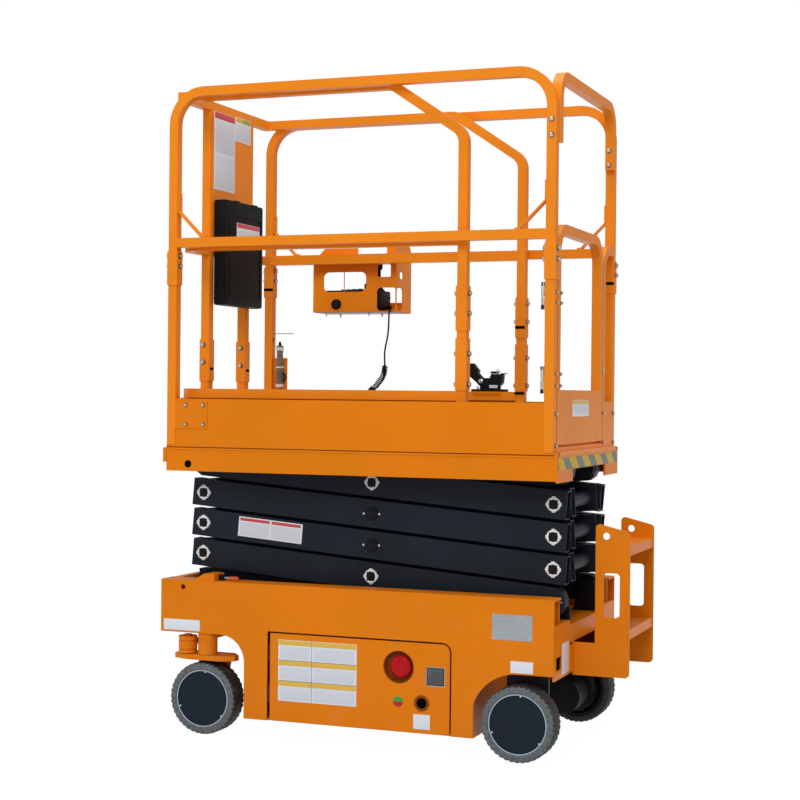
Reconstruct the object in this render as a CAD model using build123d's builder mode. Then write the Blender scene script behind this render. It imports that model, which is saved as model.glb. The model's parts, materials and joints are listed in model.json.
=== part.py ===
from build123d import *
import math
import os

os.makedirs("parts", exist_ok=True)

# Slab scissor lift, in millimetres. +X is forwards, +Y the machine's left, +Z up.
# The origin is on the floor, on the machine's centre plane.

# ---------------------------------------------------------------- driving sizes
# Wheels and steering
wheel_radius = 115.0
tyre_width = 80.0
rim_radius = 92.0
wheel_y = 340.0
front_axle_x = 591.0
rear_axle_x = -459.0
axle_radius = 18.0
running_gap = 0.05
kingpin_radius = 16.0
kingpin_housing_radius = 31.0
knuckle_top_z = 252.0
knuckle_plate = 16.0
knuckle_reach_front = 114.0
knuckle_reach_rear = 102.0
knuckle_leg_y = 284.0
knuckle_leg = 10.0
steering_arm = 72.0
tie_pin_radius = 12.0
tie_eye_radius = 30.0
tie_bar_radius = 10.0
tie_bar_z = 282.0
thrust_gap = 1.0

# Chassis
plate = 6.0
chassis_y = 372.0
chassis_front_x = 745.0
chassis_rear_x = -568.0
chassis_top_z = 490.0
flange_inner_y = 296.0
well_z = 389.0
skirt_z = 62.0
front_floor_z = 322.0
front_arch_x = 531.0
front_arch_radius = 85.0
rear_arch_radius = 149.0
door_rear_x = -244.0
door_front_x = 355.0
door_bottom_z = 64.0
door_top_z = 338.0
door_gap = 5.0
door_hinge_gap = 10.0
door_corner = 25.0
hinge_radius = 3.0
hinge_offset = 3.6
hinge_pin_radius = 1.5
battery_size = (430.0, 520.0, 250.0)
battery_x = 60.0

# Scissor stack
arm_width = 48.0
arm_height = 88.0
arm_wall = 4.0
arm_overrun = 40.0
outer_arm_y = 184.0
inner_arm_y = 131.0
pin_radius = 15.0
pin_end_y = 236.0
bush_radius = 24.0
pivot_rear_x = -524.0
pivot_front_x = 666.0
pivot_base_z = 467.0
arm_rise = 99.0
levels = 4
open_pin_gap = 0.3
cross_tube_radius = 24.0
roller_radius = 32.0
boss_radius = 38.0

# Lift cylinder
cylinder_offset = 150.0
barrel_radius = 28.0
barrel_bore = 21.0
rod_radius = 16.0
eye_radius = 32.0
piston_start = 53.0
piston_length = 30.0
gland_length = 45.0
bore_margin = 4.0
lift_angle = 41.0

# Platform
platform_rear_x = -574.0
platform_front_x = 731.0
platform_y = 371.0
frame_depth = 74.0
frame_tab = 5.0
hazard_depth = 42.0
deck_z = 914.0
deck_plate = 11.0
toe_plate = 3.0
toe_height = 147.0
track_gap = 0.3

# Guard rails
tube = 30.0
rail_y = 373.5
rail_height = 1146.0
mid_rail_height = 633.0
rear_post_x = -560.0
front_post_x = 699.0
rail_bend = 120.0
sleeve_wall = 3.0
sleeve_drop = 121.0
sleeve_length = 109.0
brace_plate = 5.0
brace_width = 22.0
brace_run = 84.0
brace_leg = 60.0
arch_drop = 6.0
arch_leg = 204.0
arch_bend = 70.0
gate_clearance = 22.0
gate_rise = 52.0
gate_bend = 75.0
infill_rise = 32.0
kick_height = 164.0

# Extension deck
extension_y = 323.0
extension_rear_x = -268.0
extension_front_x = 727.0
extension_lift = 6.0
tread_plate = 2.0
lower_bar_height = 150.0
extension_mid_rise = 7.0
extension_drop = 5.0
extension_knee = 161.0
extension_post_y = 120.0
slide_gap = 0.3

# ---------------------------------------------------------------- derived sizes
deck_top_z = deck_z + deck_plate
toe_top_z = deck_top_z + toe_height
platform_bottom_z = deck_z - frame_depth
rail_top_z = deck_top_z + rail_height
mid_rail_z = deck_top_z + mid_rail_height
sleeve_bottom_z = mid_rail_z - sleeve_drop
extension_deck_z = deck_top_z + extension_lift
lower_bar_z = deck_top_z + lower_bar_height
extension_mid_z = mid_rail_z + extension_mid_rise
extension_top_z = rail_top_z - extension_drop
pivot_span = pivot_front_x - pivot_rear_x
pivot_mid_x = (pivot_front_x + pivot_rear_x) / 2
arm_length = math.hypot(pivot_span, arm_rise)
arm_angle = math.degrees(math.atan2(arm_rise, pivot_span))
rest_roller_z = pivot_base_z - roller_radius - track_gap
top_pivot_z = pivot_base_z + levels * arm_rise
web_y = flange_inner_y - plate
skin_y = chassis_y - plate
rail_inner_y = rail_y - tube
rail_mid_y = rail_y - tube / 2
extension_inner_y = extension_y - tube
front_arch_z = front_floor_z - front_arch_radius
hinge_x = door_front_x + hinge_offset
hinge_y = chassis_y - plate / 2
tie_pin_x = front_axle_x + steering_arm
SIDES = (("left", 1), ("right", -1))
FROM_FOOT = (Align.CENTER, Align.CENTER, Align.MIN)


def block(x, y, z, mode=Mode.ADD):
    """Adds a box given by its limits on each axis."""
    centre = (sum(x) / 2, sum(y) / 2, sum(z) / 2)
    with Locations(centre):
        return Box(abs(x[1] - x[0]), abs(y[1] - y[0]), abs(z[1] - z[0]), mode=mode)


def bar(start, end, radius, mode=Mode.ADD):
    """Adds a round bar between two points."""
    first, last = Vector(*start), Vector(*end)
    run = last - first
    with Locations(Plane(origin=first, z_dir=run)):
        return Cylinder(radius, run.length, align=FROM_FOOT, mode=mode)


def pin(x, z, y, radius, mode=Mode.ADD):
    """Adds a round pin across the machine, between two places on Y."""
    return bar((x, y[0], z), (x, y[1], z), radius, mode)


def side_plane(y):
    """A plane along the machine's side: local x is X, local y is Z, its normal is -Y."""
    return Plane.XZ.offset(-y)


def tube_path(points, radius):
    """Adds a square tube along a bent path whose corners share one radius."""
    with BuildLine(mode=Mode.PRIVATE) as path:
        FilletPolyline(*points, radius=radius)
    across = Vector(0, 1, 0) if abs((path.line % 0).Y) < 0.5 else Vector(0, 0, 1)
    start = Plane(origin=path.line @ 0, x_dir=across, z_dir=path.line % 0)
    with BuildSketch(start, mode=Mode.PRIVATE) as section:
        Rectangle(tube, tube)
    return sweep(sections=section.sketch, path=path.line, transition=Transition.RIGHT)


def save(part, label):
    """Names a finished piece and writes it as its own STEP file."""
    part.label = label
    export_step(part, f"parts/{label}.step")


# ---------------------------------------------------------------- wheels
# Each row: position name, axle x
WHEELS = (("front", front_axle_x), ("rear", rear_axle_x))
shoulder = 10.0
rim_edge = 36.0
cap_face = 33.0
hub_core_radius = 32.0
hub_core_start = -8.0

for axle_name, axle_x in WHEELS:
    for side_name, side in SIDES:
        centre = (axle_x, side * wheel_y, wheel_radius)
        wheel_plane = Plane(origin=centre, x_dir=(1, 0, 0), z_dir=(0, side, 0))
        with BuildPart() as tyre:
            with BuildSketch(Plane(origin=centre, x_dir=(1, 0, 0), z_dir=(0, 0, 1))) as tread:
                with Locations(((rim_radius + wheel_radius) / 2, 0)):
                    Rectangle(wheel_radius - rim_radius, tyre_width)
                chamfer(tread.vertices().group_by(Axis.X)[-1], shoulder)
            revolve(axis=Axis(wheel_plane.origin, (0, 1, 0)))
        save(tyre.part, f"tyre_{axle_name}_{side_name}")

        with BuildPart(wheel_plane) as hub:
            with Locations((0, 0, -rim_edge)):
                Cylinder(rim_radius, 2 * rim_edge, align=FROM_FOOT)
            with Locations((0, 0, cap_face)):
                Cylinder(rim_radius - 5, rim_edge, align=FROM_FOOT, mode=Mode.SUBTRACT)
            with Locations((0, 0, -rim_edge)):
                Cylinder(rim_radius - 8, rim_edge + cap_face - 8, align=FROM_FOOT, mode=Mode.SUBTRACT)
            with Locations((0, 0, hub_core_start)):
                Cylinder(hub_core_radius, cap_face - 8 - hub_core_start, align=FROM_FOOT)
                Cylinder(axle_radius + running_gap, cap_face - 14 - hub_core_start,
                         align=FROM_FOOT, mode=Mode.SUBTRACT)
        save(hub.part, f"hub_{axle_name}_{side_name}")

# ---------------------------------------------------------------- steering knuckles and tie rod
axle_end_y = wheel_y + cap_face - 18
tie_pin_top_z = 313.0
for side_name, side in SIDES:
    with BuildPart() as knuckle:
        plate_bottom_z = knuckle_top_z - knuckle_plate
        with BuildSketch(Plane.XY.offset(plate_bottom_z)) as top_plate:
            with BuildLine():
                Polyline(
                    (front_axle_x - knuckle_reach_rear, side * 322),
                    (front_axle_x - 70, side * knuckle_leg_y),
                    (front_axle_x + 70, side * knuckle_leg_y),
                    (front_axle_x + knuckle_reach_front, side * 325),
                    (front_axle_x + knuckle_reach_front - 2, side * 352),
                    (front_axle_x + 60, side * 372),
                    (front_axle_x - 60, side * 372),
                    (front_axle_x - knuckle_reach_rear, side * 350),
                    close=True,
                )
            make_face()
        extrude(amount=knuckle_plate)
        with BuildSketch(side_plane(side * knuckle_leg_y)) as leg:
            with BuildLine():
                Polyline(
                    (front_axle_x - 34, wheel_radius),
                    (front_axle_x - 60, plate_bottom_z),
                    (front_axle_x + 60, plate_bottom_z),
                    (front_axle_x + 34, wheel_radius),
                )
                ThreePointArc((front_axle_x + 34, wheel_radius), (front_axle_x, wheel_radius - 34),
                              (front_axle_x - 34, wheel_radius))
            make_face()
        extrude(amount=-side * knuckle_leg)
        pin(front_axle_x, wheel_radius, (side * knuckle_leg_y, side * axle_end_y), axle_radius)
        kingpin_foot = (front_axle_x, side * wheel_y, plate_bottom_z)
        bar(kingpin_foot, (front_axle_x, side * wheel_y, front_floor_z - 2), kingpin_radius)
        tie_pin_foot = (tie_pin_x, side * wheel_y, plate_bottom_z)
        bar(tie_pin_foot, (tie_pin_x, side * wheel_y, tie_pin_top_z), tie_pin_radius)
    save(knuckle.part, f"knuckle_{side_name}")

tie_eye_bottom_z = knuckle_top_z + 2
tie_eye_top_z = 308.0
tie_groove = 2.5
# Each row: where a stage of the eye starts and ends above its foot, how far it is set in
TIE_EYE_STAGES = ((0, 10, 0), (10, 14, tie_groove), (14, 37, 0), (37, 41, tie_groove), (41, 54, 0))
with BuildPart() as tie_rod:
    pin(tie_pin_x, tie_bar_z, (-wheel_y + 20, wheel_y - 20), tie_bar_radius)
    for side_name, side in SIDES:
        eye_centre = (tie_pin_x, side * wheel_y)
        for start, end, inset in TIE_EYE_STAGES:
            foot = (*eye_centre, tie_eye_bottom_z + start)
            bar(foot, (*eye_centre, tie_eye_bottom_z + end), tie_eye_radius - inset)
        bar((*eye_centre, tie_eye_bottom_z), (*eye_centre, tie_eye_top_z),
            tie_pin_radius + running_gap, Mode.SUBTRACT)
save(tie_rod.part, "tie_rod")

# ---------------------------------------------------------------- chassis
lashing_hole = 6.0
lashing_hole_x = 665.0
lashing_hole_z = 468.0
cover_top_z = 512.0
belly_setback = 140.0
belly_rear_x = rear_axle_x + belly_setback
belly_front_x = front_arch_x - front_arch_radius
DOOR_HINGES_Z = (120.0, 250.0)
hinge_length = 60.0
hinge_knuckle = 19.0
hole_rear_x = door_rear_x - door_gap
hole_front_x = door_front_x + door_hinge_gap
hole_top_z = door_top_z + door_gap
hole_bend = door_corner + door_gap
for side_name, side in SIDES:
    with BuildPart() as chassis_side:
        with BuildSketch(side_plane(side * chassis_y)) as skin:
            with BuildLine():
                Polyline(
                    (belly_front_x, front_arch_z),
                    (belly_front_x, skirt_z),
                    (belly_rear_x, skirt_z),
                    (belly_rear_x, wheel_radius + math.sqrt(rear_arch_radius**2 - belly_setback**2)),
                )
                RadiusArc((belly_rear_x, wheel_radius + math.sqrt(rear_arch_radius**2 - belly_setback**2)),
                          (rear_axle_x, wheel_radius + rear_arch_radius), -rear_arch_radius)
                Polyline(
                    (rear_axle_x, wheel_radius + rear_arch_radius),
                    (chassis_rear_x, wheel_radius + rear_arch_radius),
                    (chassis_rear_x, chassis_top_z),
                    (chassis_front_x, chassis_top_z),
                    (chassis_front_x, front_arch_z + front_arch_radius),
                    (front_arch_x, front_arch_z + front_arch_radius),
                )
                RadiusArc((front_arch_x, front_arch_z + front_arch_radius),
                          (belly_front_x, front_arch_z), -front_arch_radius)
            make_face()
            with BuildLine():
                Polyline((hole_rear_x, hole_top_z - hole_bend), (hole_rear_x, skirt_z - 1),
                         (hole_front_x, skirt_z - 1), (hole_front_x, hole_top_z),
                         (hole_rear_x + hole_bend, hole_top_z))
                RadiusArc((hole_rear_x + hole_bend, hole_top_z),
                          (hole_rear_x, hole_top_z - hole_bend), -hole_bend)
            make_face(mode=Mode.SUBTRACT)
            with Locations((lashing_hole_x, lashing_hole_z)):
                Circle(lashing_hole, mode=Mode.SUBTRACT)
        extrude(amount=side * plate)
        block((chassis_rear_x, chassis_front_x), (side * flange_inner_y, side * skin_y),
              (chassis_top_z - plate, chassis_top_z))
        block((chassis_rear_x + plate, chassis_front_x - plate), (side * web_y, side * flange_inner_y),
              (well_z, chassis_top_z))
        for hinge_z in DOOR_HINGES_Z:
            foot = (hinge_x, side * hinge_y, hinge_z)
            bar(foot, (hinge_x, side * hinge_y, hinge_z + hinge_length), hinge_pin_radius)
            bar(foot, (hinge_x, side * hinge_y, hinge_z + hinge_knuckle), hinge_radius)
            block((hinge_x, hole_front_x), (side * (hinge_y - 1), side * (hinge_y + 1)),
                  (hinge_z, hinge_z + hinge_knuckle))
        with BuildSketch(side_plane(side * flange_inner_y)) as kingpin_cover:
            with BuildLine():
                Polyline((front_axle_x - 34, chassis_top_z), (front_axle_x - 34, cover_top_z),
                         (front_axle_x + 4, cover_top_z), (front_axle_x + 41, chassis_top_z), close=True)
            make_face()
        extrude(amount=-side * (skin_y - flange_inner_y))
    save(chassis_side.part, f"chassis_side_{side_name}")

with BuildPart() as well_deck:
    block((chassis_rear_x + plate, chassis_front_x - plate), (-web_y, web_y), (well_z, well_z + plate))
    for x in (belly_rear_x, belly_front_x - plate):
        block((x, x + plate), (-skin_y, skin_y), (skirt_z + plate, well_z))
    block((belly_rear_x, belly_front_x), (-skin_y, skin_y), (skirt_z, skirt_z + plate))
save(well_deck.part, "chassis_tray")

with BuildPart() as battery:
    with Locations((battery_x, 0, skirt_z + plate + battery_size[2] / 2)):
        Box(*battery_size)
save(battery.part, "battery_pack")

front_box_x = 712.0
with BuildPart() as front_box:
    block((belly_front_x, chassis_front_x - plate), (-skin_y, skin_y), (front_floor_z, front_floor_z + plate))
    block((chassis_front_x - plate, chassis_front_x), (-skin_y, skin_y),
          (front_floor_z, chassis_top_z - plate))
    block((front_box_x, chassis_front_x - plate), (-web_y, web_y), (well_z + plate, chassis_top_z))
    for side_name, side in SIDES:
        post = (front_axle_x, side * wheel_y)
        bar((*post, knuckle_top_z + thrust_gap), (*post, front_floor_z), kingpin_housing_radius)
        block((front_axle_x - 40, front_axle_x + 40), (side * skin_y, side * (skin_y + 10)),
              (front_floor_z - 22, front_floor_z), Mode.SUBTRACT)
        bar((*post, knuckle_top_z), (*post, front_floor_z - 1), kingpin_radius + running_gap, Mode.SUBTRACT)
save(front_box.part, "chassis_front_box")

motor_plate_y = 262.0
motor_plate = 10.0
hanger_half = 66.0
rear_floor_z = wheel_radius + rear_arch_radius - 2
corner_inner_y = 190.0
corner_bottom_z = 248.0
corner_top_z = 410.0
corner_shelf = 40.0
rear_plate_bottom_z = 341.0
CORNER_HOLE_Y = (285, 345)
CORNER_HOLE_Z = (275, 315)
with BuildPart() as rear_box:
    block((chassis_rear_x, belly_rear_x), (-skin_y, skin_y), (rear_floor_z, rear_floor_z + plate))
    block((chassis_rear_x, chassis_rear_x + plate), (-corner_inner_y, corner_inner_y),
          (rear_plate_bottom_z, well_z + plate))
    for side_name, side in SIDES:
        block((chassis_rear_x, chassis_rear_x + plate), (side * corner_inner_y, side * skin_y),
              (corner_bottom_z, corner_top_z))
        for start_y, end_y in ((corner_inner_y, web_y), (flange_inner_y, skin_y)):
            block((chassis_rear_x, chassis_rear_x + corner_shelf), (side * start_y, side * end_y),
                  (corner_top_z - plate, corner_top_z))
        with BuildSketch(side_plane(side * motor_plate_y)) as hanger:
            with BuildLine():
                Polyline(
                    (rear_axle_x - hanger_half, rear_floor_z),
                    (rear_axle_x - hanger_half, wheel_radius),
                    (rear_axle_x - hanger_half / 2, wheel_radius - hanger_half),
                    (rear_axle_x + hanger_half / 2, wheel_radius - hanger_half),
                    (rear_axle_x + hanger_half, wheel_radius),
                    (rear_axle_x + hanger_half, rear_floor_z),
                    close=True,
                )
            make_face()
        extrude(amount=-side * motor_plate)
        hole_y = [side * y for y in CORNER_HOLE_Y]
        block((chassis_rear_x, chassis_rear_x + plate), hole_y, CORNER_HOLE_Z, Mode.SUBTRACT)
save(rear_box.part, "chassis_rear_box")

# Each row: radius, place on Y where the stage starts, place where it ends
DRIVE_STAGES = ((55.0, 130.0, 250.0), (62.0, 250.0, motor_plate_y),
                (72.0, motor_plate_y + motor_plate, 300.0), (55.0, 300.0, 326.0),
                (axle_radius, 326.0, axle_end_y))
for side_name, side in SIDES:
    with BuildPart() as drive_unit:
        for radius, start_y, end_y in DRIVE_STAGES:
            pin(rear_axle_x, wheel_radius, (side * start_y, side * end_y), radius)
    save(drive_unit.part, f"drive_unit_{side_name}")

# ---------------------------------------------------------------- ladder
ladder_inner_y = 162.0
ladder_plate = 6.0
ladder_front_x = -639.0
ladder_rear_x = -746.0
ladder_top_z = 707.0
ladder_bottom_z = 240.0
tread_depth = 100.0
TREADS_Z = (640.0, 386.0)
with BuildPart() as ladder:
    for side_name, side in SIDES:
        with BuildSketch(side_plane(side * ladder_inner_y)) as stringer:
            with BuildLine():
                Polyline(
                    (chassis_rear_x, rear_plate_bottom_z), (ladder_front_x, rear_plate_bottom_z),
                    (ladder_front_x, ladder_top_z), (ladder_rear_x, ladder_top_z - 26),
                    (ladder_rear_x, ladder_bottom_z), (chassis_rear_x, ladder_bottom_z),
                    close=True,
                )
            make_face()
            fillet(stringer.vertices().group_by(Axis.Y)[-1], 12)
            fillet(stringer.vertices().group_by(Axis.X)[0], 14)
            with Locations((ladder_front_x - 33, ladder_top_z - 39)):
                Circle(11, mode=Mode.SUBTRACT)
            with Locations((ladder_front_x - 51, ladder_top_z - 219)):
                RectangleRounded(50, 136, 12, mode=Mode.SUBTRACT)
        extrude(amount=-side * ladder_plate)
        tab_y = (side * ladder_inner_y, side * (corner_inner_y + 14))
        block((chassis_rear_x - ladder_plate, chassis_rear_x), tab_y,
              (corner_bottom_z + 4, rear_plate_bottom_z - 6))
    for tread_z in TREADS_Z:
        block((ladder_rear_x + 3, ladder_rear_x + 3 + tread_depth), (-ladder_inner_y, ladder_inner_y),
              (tread_z - 4, tread_z))
        for x in (ladder_rear_x + 3, ladder_rear_x + tread_depth - 1):
            block((x, x + 4), (-ladder_inner_y, ladder_inner_y), (tread_z - 30, tread_z - 4))
save(ladder.part, "ladder")

# ---------------------------------------------------------------- compartment doors
stop_x = -78.0
stop_z = 260.0
stop_cup_radius = 50.0
screen_x = -198.0
screen_z = 238.5
inlet_x = -154.0
inlet_z = 155.0
inlet_hole = 26.0
for side_name, side in SIDES:
    with BuildPart() as door:
        with BuildSketch(side_plane(side * chassis_y)) as leaf:
            with Locations(((door_rear_x + door_front_x) / 2, (door_bottom_z + door_top_z) / 2)):
                Rectangle(door_front_x - door_rear_x, door_top_z - door_bottom_z)
            fillet(leaf.vertices().group_by(Axis.Y)[-1].sort_by(Axis.X)[0], door_corner)
            if side > 0:
                with Locations((stop_x, stop_z)):
                    Circle(stop_cup_radius, mode=Mode.SUBTRACT)
                with Locations((screen_x, screen_z)):
                    RectangleRounded(62, 59, 6, mode=Mode.SUBTRACT)
                with Locations((inlet_x, inlet_z)):
                    Circle(inlet_hole, mode=Mode.SUBTRACT)
        extrude(amount=side * plate)
        for hinge_z in DOOR_HINGES_Z:
            knuckle_start = hinge_z + hinge_knuckle + 1
            barrel = ((hinge_x, side * hinge_y, knuckle_start),
                      (hinge_x, side * hinge_y, hinge_z + hinge_length))
            block((door_front_x, hinge_x), (side * (hinge_y - 1), side * (hinge_y + 1)),
                  (knuckle_start, hinge_z + hinge_length))
            bar(*barrel, hinge_radius)
            bar(*barrel, hinge_pin_radius + running_gap, Mode.SUBTRACT)
        lip = (side * (skin_y - 22), side * skin_y)
        lip_z = skirt_z + plate + door_gap + 1
        block((door_rear_x + 8, door_front_x - 30), lip, (lip_z, lip_z + 3))
        block((door_rear_x + 8, door_rear_x + 11), lip, (lip_z, door_top_z - 40))
    save(door.part, f"door_{side_name}")

with BuildPart() as stop_button:
    with BuildSketch(side_plane(skin_y)) as cup:
        with Locations((stop_x, stop_z)):
            Circle(stop_cup_radius)
            Circle(stop_cup_radius - 3, mode=Mode.SUBTRACT)
    extrude(amount=20)
    pin(stop_x, stop_z, (skin_y - 20, skin_y - 17), stop_cup_radius)
    pin(stop_x, stop_z, (skin_y - 17, skin_y - 8), 24)
    pin(stop_x, stop_z, (skin_y - 8, skin_y + 2), 20)
save(stop_button.part, "stop_button")

with BuildPart() as display:
    with BuildSketch(side_plane(chassis_y - 2)) as screen:
        with Locations((screen_x, screen_z)):
            RectangleRounded(61.4, 58.4, 6)
    extrude(amount=16)
save(display.part, "ground_display")

with BuildPart() as charge_inlet:
    pin(inlet_x, inlet_z, (skin_y - 30, chassis_y - 1), inlet_hole - 0.3)
    pin(inlet_x, inlet_z, (skin_y - 18, chassis_y), 17, Mode.SUBTRACT)
    pin(inlet_x, inlet_z, (skin_y - 18, skin_y - 4), 6)
save(charge_inlet.part, "charge_inlet")

# ---------------------------------------------------------------- scissor arms
def arm_plane(level, rising, y):
    """The side plane of an arm as it lies folded: local x runs forwards along it from its centre pin."""
    slope = math.radians(arm_angle) * (1 if rising else -1)
    middle_z = pivot_base_z + (level - 0.5) * arm_rise
    along = (math.cos(slope), 0, math.sin(slope))
    return Plane(origin=(pivot_mid_x, y, middle_z), x_dir=along, z_dir=(0, -1, 0))


def end_points(blunt, direction):
    """The outline of one end of an arm, from its upper to its lower edge, going forwards or backwards."""
    tip = arm_length / 2
    edge = arm_height / 2
    if blunt:
        angles = [math.radians(80 - 32 * step) for step in range(6)]
        full = math.sin(angles[0])
        points = [(tip + boss_radius * math.cos(angle), edge * math.sin(angle) / full) for angle in angles]
    else:
        points = [(tip + arm_overrun, edge), (tip + arm_overrun, -edge)]
    return [(direction * x, z) for x, z in points]


def arm_rails(level, rising, inner_y, blunt_rear, blunt_front):
    """Adds the two hollow rails of an arm, with a bush at each of their three pivots."""
    rear_z = pivot_base_z + (level - 1 if rising else level) * arm_rise
    front_z = pivot_base_z + (level if rising else level - 1) * arm_rise
    outline = end_points(blunt_front, 1) + end_points(blunt_rear, -1)[::-1]
    cavity_front = arm_length / 2 + (-60 if blunt_front else arm_overrun + 1)
    cavity_rear = -arm_length / 2 - (-60 if blunt_rear else arm_overrun + 1)
    pivots = ((pivot_rear_x, rear_z), (pivot_mid_x, (rear_z + front_z) / 2), (pivot_front_x, front_z))
    for _, side in SIDES:
        with BuildSketch(arm_plane(level, rising, side * inner_y)) as profile:
            with BuildLine():
                Polyline(*outline, close=True)
            make_face()
        extrude(profile.sketch, amount=-side * arm_width)
        with BuildSketch(arm_plane(level, rising, side * (inner_y + arm_wall))) as cavity:
            with Locations(((cavity_front + cavity_rear) / 2, 0)):
                Rectangle(cavity_front - cavity_rear, arm_height - 2 * arm_wall)
        extrude(cavity.sketch, amount=-side * (arm_width - 2 * arm_wall), mode=Mode.SUBTRACT)
        for x, z in pivots:
            pin(x, z, (side * inner_y, side * (inner_y + arm_width)), bush_radius)
    return pivots


pin_start_y = inner_arm_y + 2
top_pin_start_y = 150.0
top_roller_end_y = 179.0
base_roller_end_y = 214.0
full_span = (-pin_end_y, pin_end_y)

for level in range(1, levels + 1):
    with BuildPart() as outer_arm:
        rear, middle, front = arm_rails(level, True, outer_arm_y, level == 1, level == levels)
        pin(*middle, full_span, pin_radius)
        for _, side in SIDES:
            stub = (side * pin_start_y, side * pin_end_y)
            if level == 1:
                pin(*rear, (side * (outer_arm_y - 1), side * (outer_arm_y + arm_width + 1)),
                    pin_radius + running_gap, Mode.SUBTRACT)
            else:
                pin(*rear, stub, pin_radius)
            if level < levels:
                pin(*front, stub, pin_radius)
            else:
                pin(*front, (side * top_pin_start_y, side * pin_end_y), pin_radius)
                pin(*front, (side * top_pin_start_y, side * top_roller_end_y), roller_radius)
    save(outer_arm.part, f"arm_outer_{level}")

top_tube_inset = 120.0
for level in range(1, levels + 1):
    with BuildPart() as inner_arm:
        rear, middle, front = arm_rails(level, False, inner_arm_y, level == levels, False)
        along = (math.cos(math.radians(arm_angle)), -math.sin(math.radians(arm_angle)))
        inset = top_tube_inset if level == levels else 0
        tube_x = rear[0] + inset * along[0]
        tube_z = rear[1] + inset * along[1]
        pin(tube_x, tube_z, (-inner_arm_y, inner_arm_y), cross_tube_radius)
        pin(*front, (-inner_arm_y, inner_arm_y), cross_tube_radius)
        for _, side in SIDES:
            bore_start_y = inner_arm_y if level < levels else inner_arm_y - 1
            through = (side * bore_start_y, side * (inner_arm_y + arm_width + 1))
            pin(*rear, through, pin_radius + running_gap, Mode.SUBTRACT)
            pin(*middle, (side * (inner_arm_y - 1), through[1]), pin_radius + running_gap, Mode.SUBTRACT)
            if level == 1:
                pin(*front, (side * inner_arm_y, side * base_roller_end_y), pin_radius)
                pin(*front, (side * outer_arm_y, side * base_roller_end_y), roller_radius)
            else:
                pin(*front, (side * inner_arm_y, through[1]), pin_radius + open_pin_gap, Mode.SUBTRACT)
            if level <= 2:
                anchor, towards = (front, -1) if level == 1 else (rear, 1)
                x = anchor[0] + towards * cylinder_offset * along[0]
                z = anchor[1] + towards * cylinder_offset * along[1]
                pin(x, z, (0, side * inner_arm_y), pin_radius)
                pin(x, z, (side * 32, side * inner_arm_y), pin_radius + 7)
    save(inner_arm.part, f"arm_inner_{level}")

base_bracket_y = 166.0
bracket_plate = 12.0
track_start_x = 250.0
track_edge_y = 214.0
track_lip = 18.0
with BuildPart() as base_pivots:
    for _, side in SIDES:
        with BuildSketch(side_plane(side * base_bracket_y)) as bracket:
            with BuildLine():
                Polyline((pivot_rear_x - 38, well_z + plate), (pivot_rear_x - 38, pivot_base_z - 27),
                         (pivot_rear_x - 22, pivot_base_z + 27), (pivot_rear_x + 22, pivot_base_z + 27),
                         (pivot_rear_x + 44, well_z + plate), close=True)
            make_face()
        extrude(amount=-side * bracket_plate)
        pin(pivot_rear_x, pivot_base_z, (side * base_bracket_y, side * pin_end_y), pin_radius)
        block((track_start_x, front_box_x - plate), (side * outer_arm_y, side * track_edge_y),
              (well_z + plate, rest_roller_z))
        block((track_start_x, front_box_x - plate), (side * track_edge_y, side * (track_edge_y + plate)),
              (well_z + plate, rest_roller_z + track_lip))
save(base_pivots.part, "scissor_base")

# ---------------------------------------------------------------- lift cylinder
slope = math.radians(arm_angle)
base_eye = Vector(pivot_front_x - cylinder_offset * math.cos(slope), 0,
                  pivot_base_z + cylinder_offset * math.sin(slope))
rod_pin = Vector(pivot_rear_x + cylinder_offset * math.cos(slope), 0,
                 pivot_base_z + 2 * arm_rise - cylinder_offset * math.sin(slope))
closed_length = (rod_pin - base_eye).length
thrust = (rod_pin - base_eye).normalized()
raised = slope + math.radians(lift_angle)
open_length = math.hypot((arm_length - 2 * cylinder_offset) * math.cos(raised),
                         2 * (arm_length - cylinder_offset) * math.sin(raised))
bore_end = piston_start + piston_length + open_length - closed_length + bore_margin
barrel_length = bore_end + gland_length


def on_cylinder(distance):
    """A point on the cylinder's centre line, measured from its base eye."""
    return tuple(base_eye + thrust * distance)


with BuildPart() as barrel:
    pin(base_eye.X, base_eye.Z, (-30, 30), eye_radius)
    bar(on_cylinder(10), on_cylinder(barrel_length), barrel_radius)
    bar(on_cylinder(barrel_length - 26), on_cylinder(barrel_length), barrel_radius + 6)
    bar(on_cylinder(piston_start - bore_margin), on_cylinder(bore_end), barrel_bore, Mode.SUBTRACT)
    bar(on_cylinder(bore_end - 1), on_cylinder(barrel_length + 1), rod_radius + running_gap, Mode.SUBTRACT)
    pin(base_eye.X, base_eye.Z, (-31, 31), pin_radius + running_gap, Mode.SUBTRACT)
save(barrel.part, "cylinder_barrel")

hook_radius = 32.0
hook_bore = pin_radius + 1
hook_opening = 70.0
with BuildPart() as rod:
    bar(on_cylinder(piston_start), on_cylinder(closed_length - hook_bore - 6), rod_radius)
    bar(on_cylinder(piston_start), on_cylinder(piston_start + piston_length), barrel_bore - 0.1)
    with BuildSketch(Plane(origin=rod_pin, x_dir=-thrust, z_dir=(0, -1, 0))) as hook:
        Circle(hook_radius)
        with Locations((hook_radius, -rod_radius - 4)):
            Rectangle(2 * hook_radius - 8, 18)
        Circle(hook_bore, mode=Mode.SUBTRACT)
        with Locations(Location((0, 0), hook_opening)):
            Rectangle(3 * hook_radius, 2 * hook_bore, align=(Align.MIN, Align.CENTER), mode=Mode.SUBTRACT)
            Rectangle(3 * hook_radius, 2 * hook_radius + 2, align=(Align.MIN, Align.MIN), mode=Mode.SUBTRACT)
    extrude(amount=20, both=True)
save(rod.part, "cylinder_rod")

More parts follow.
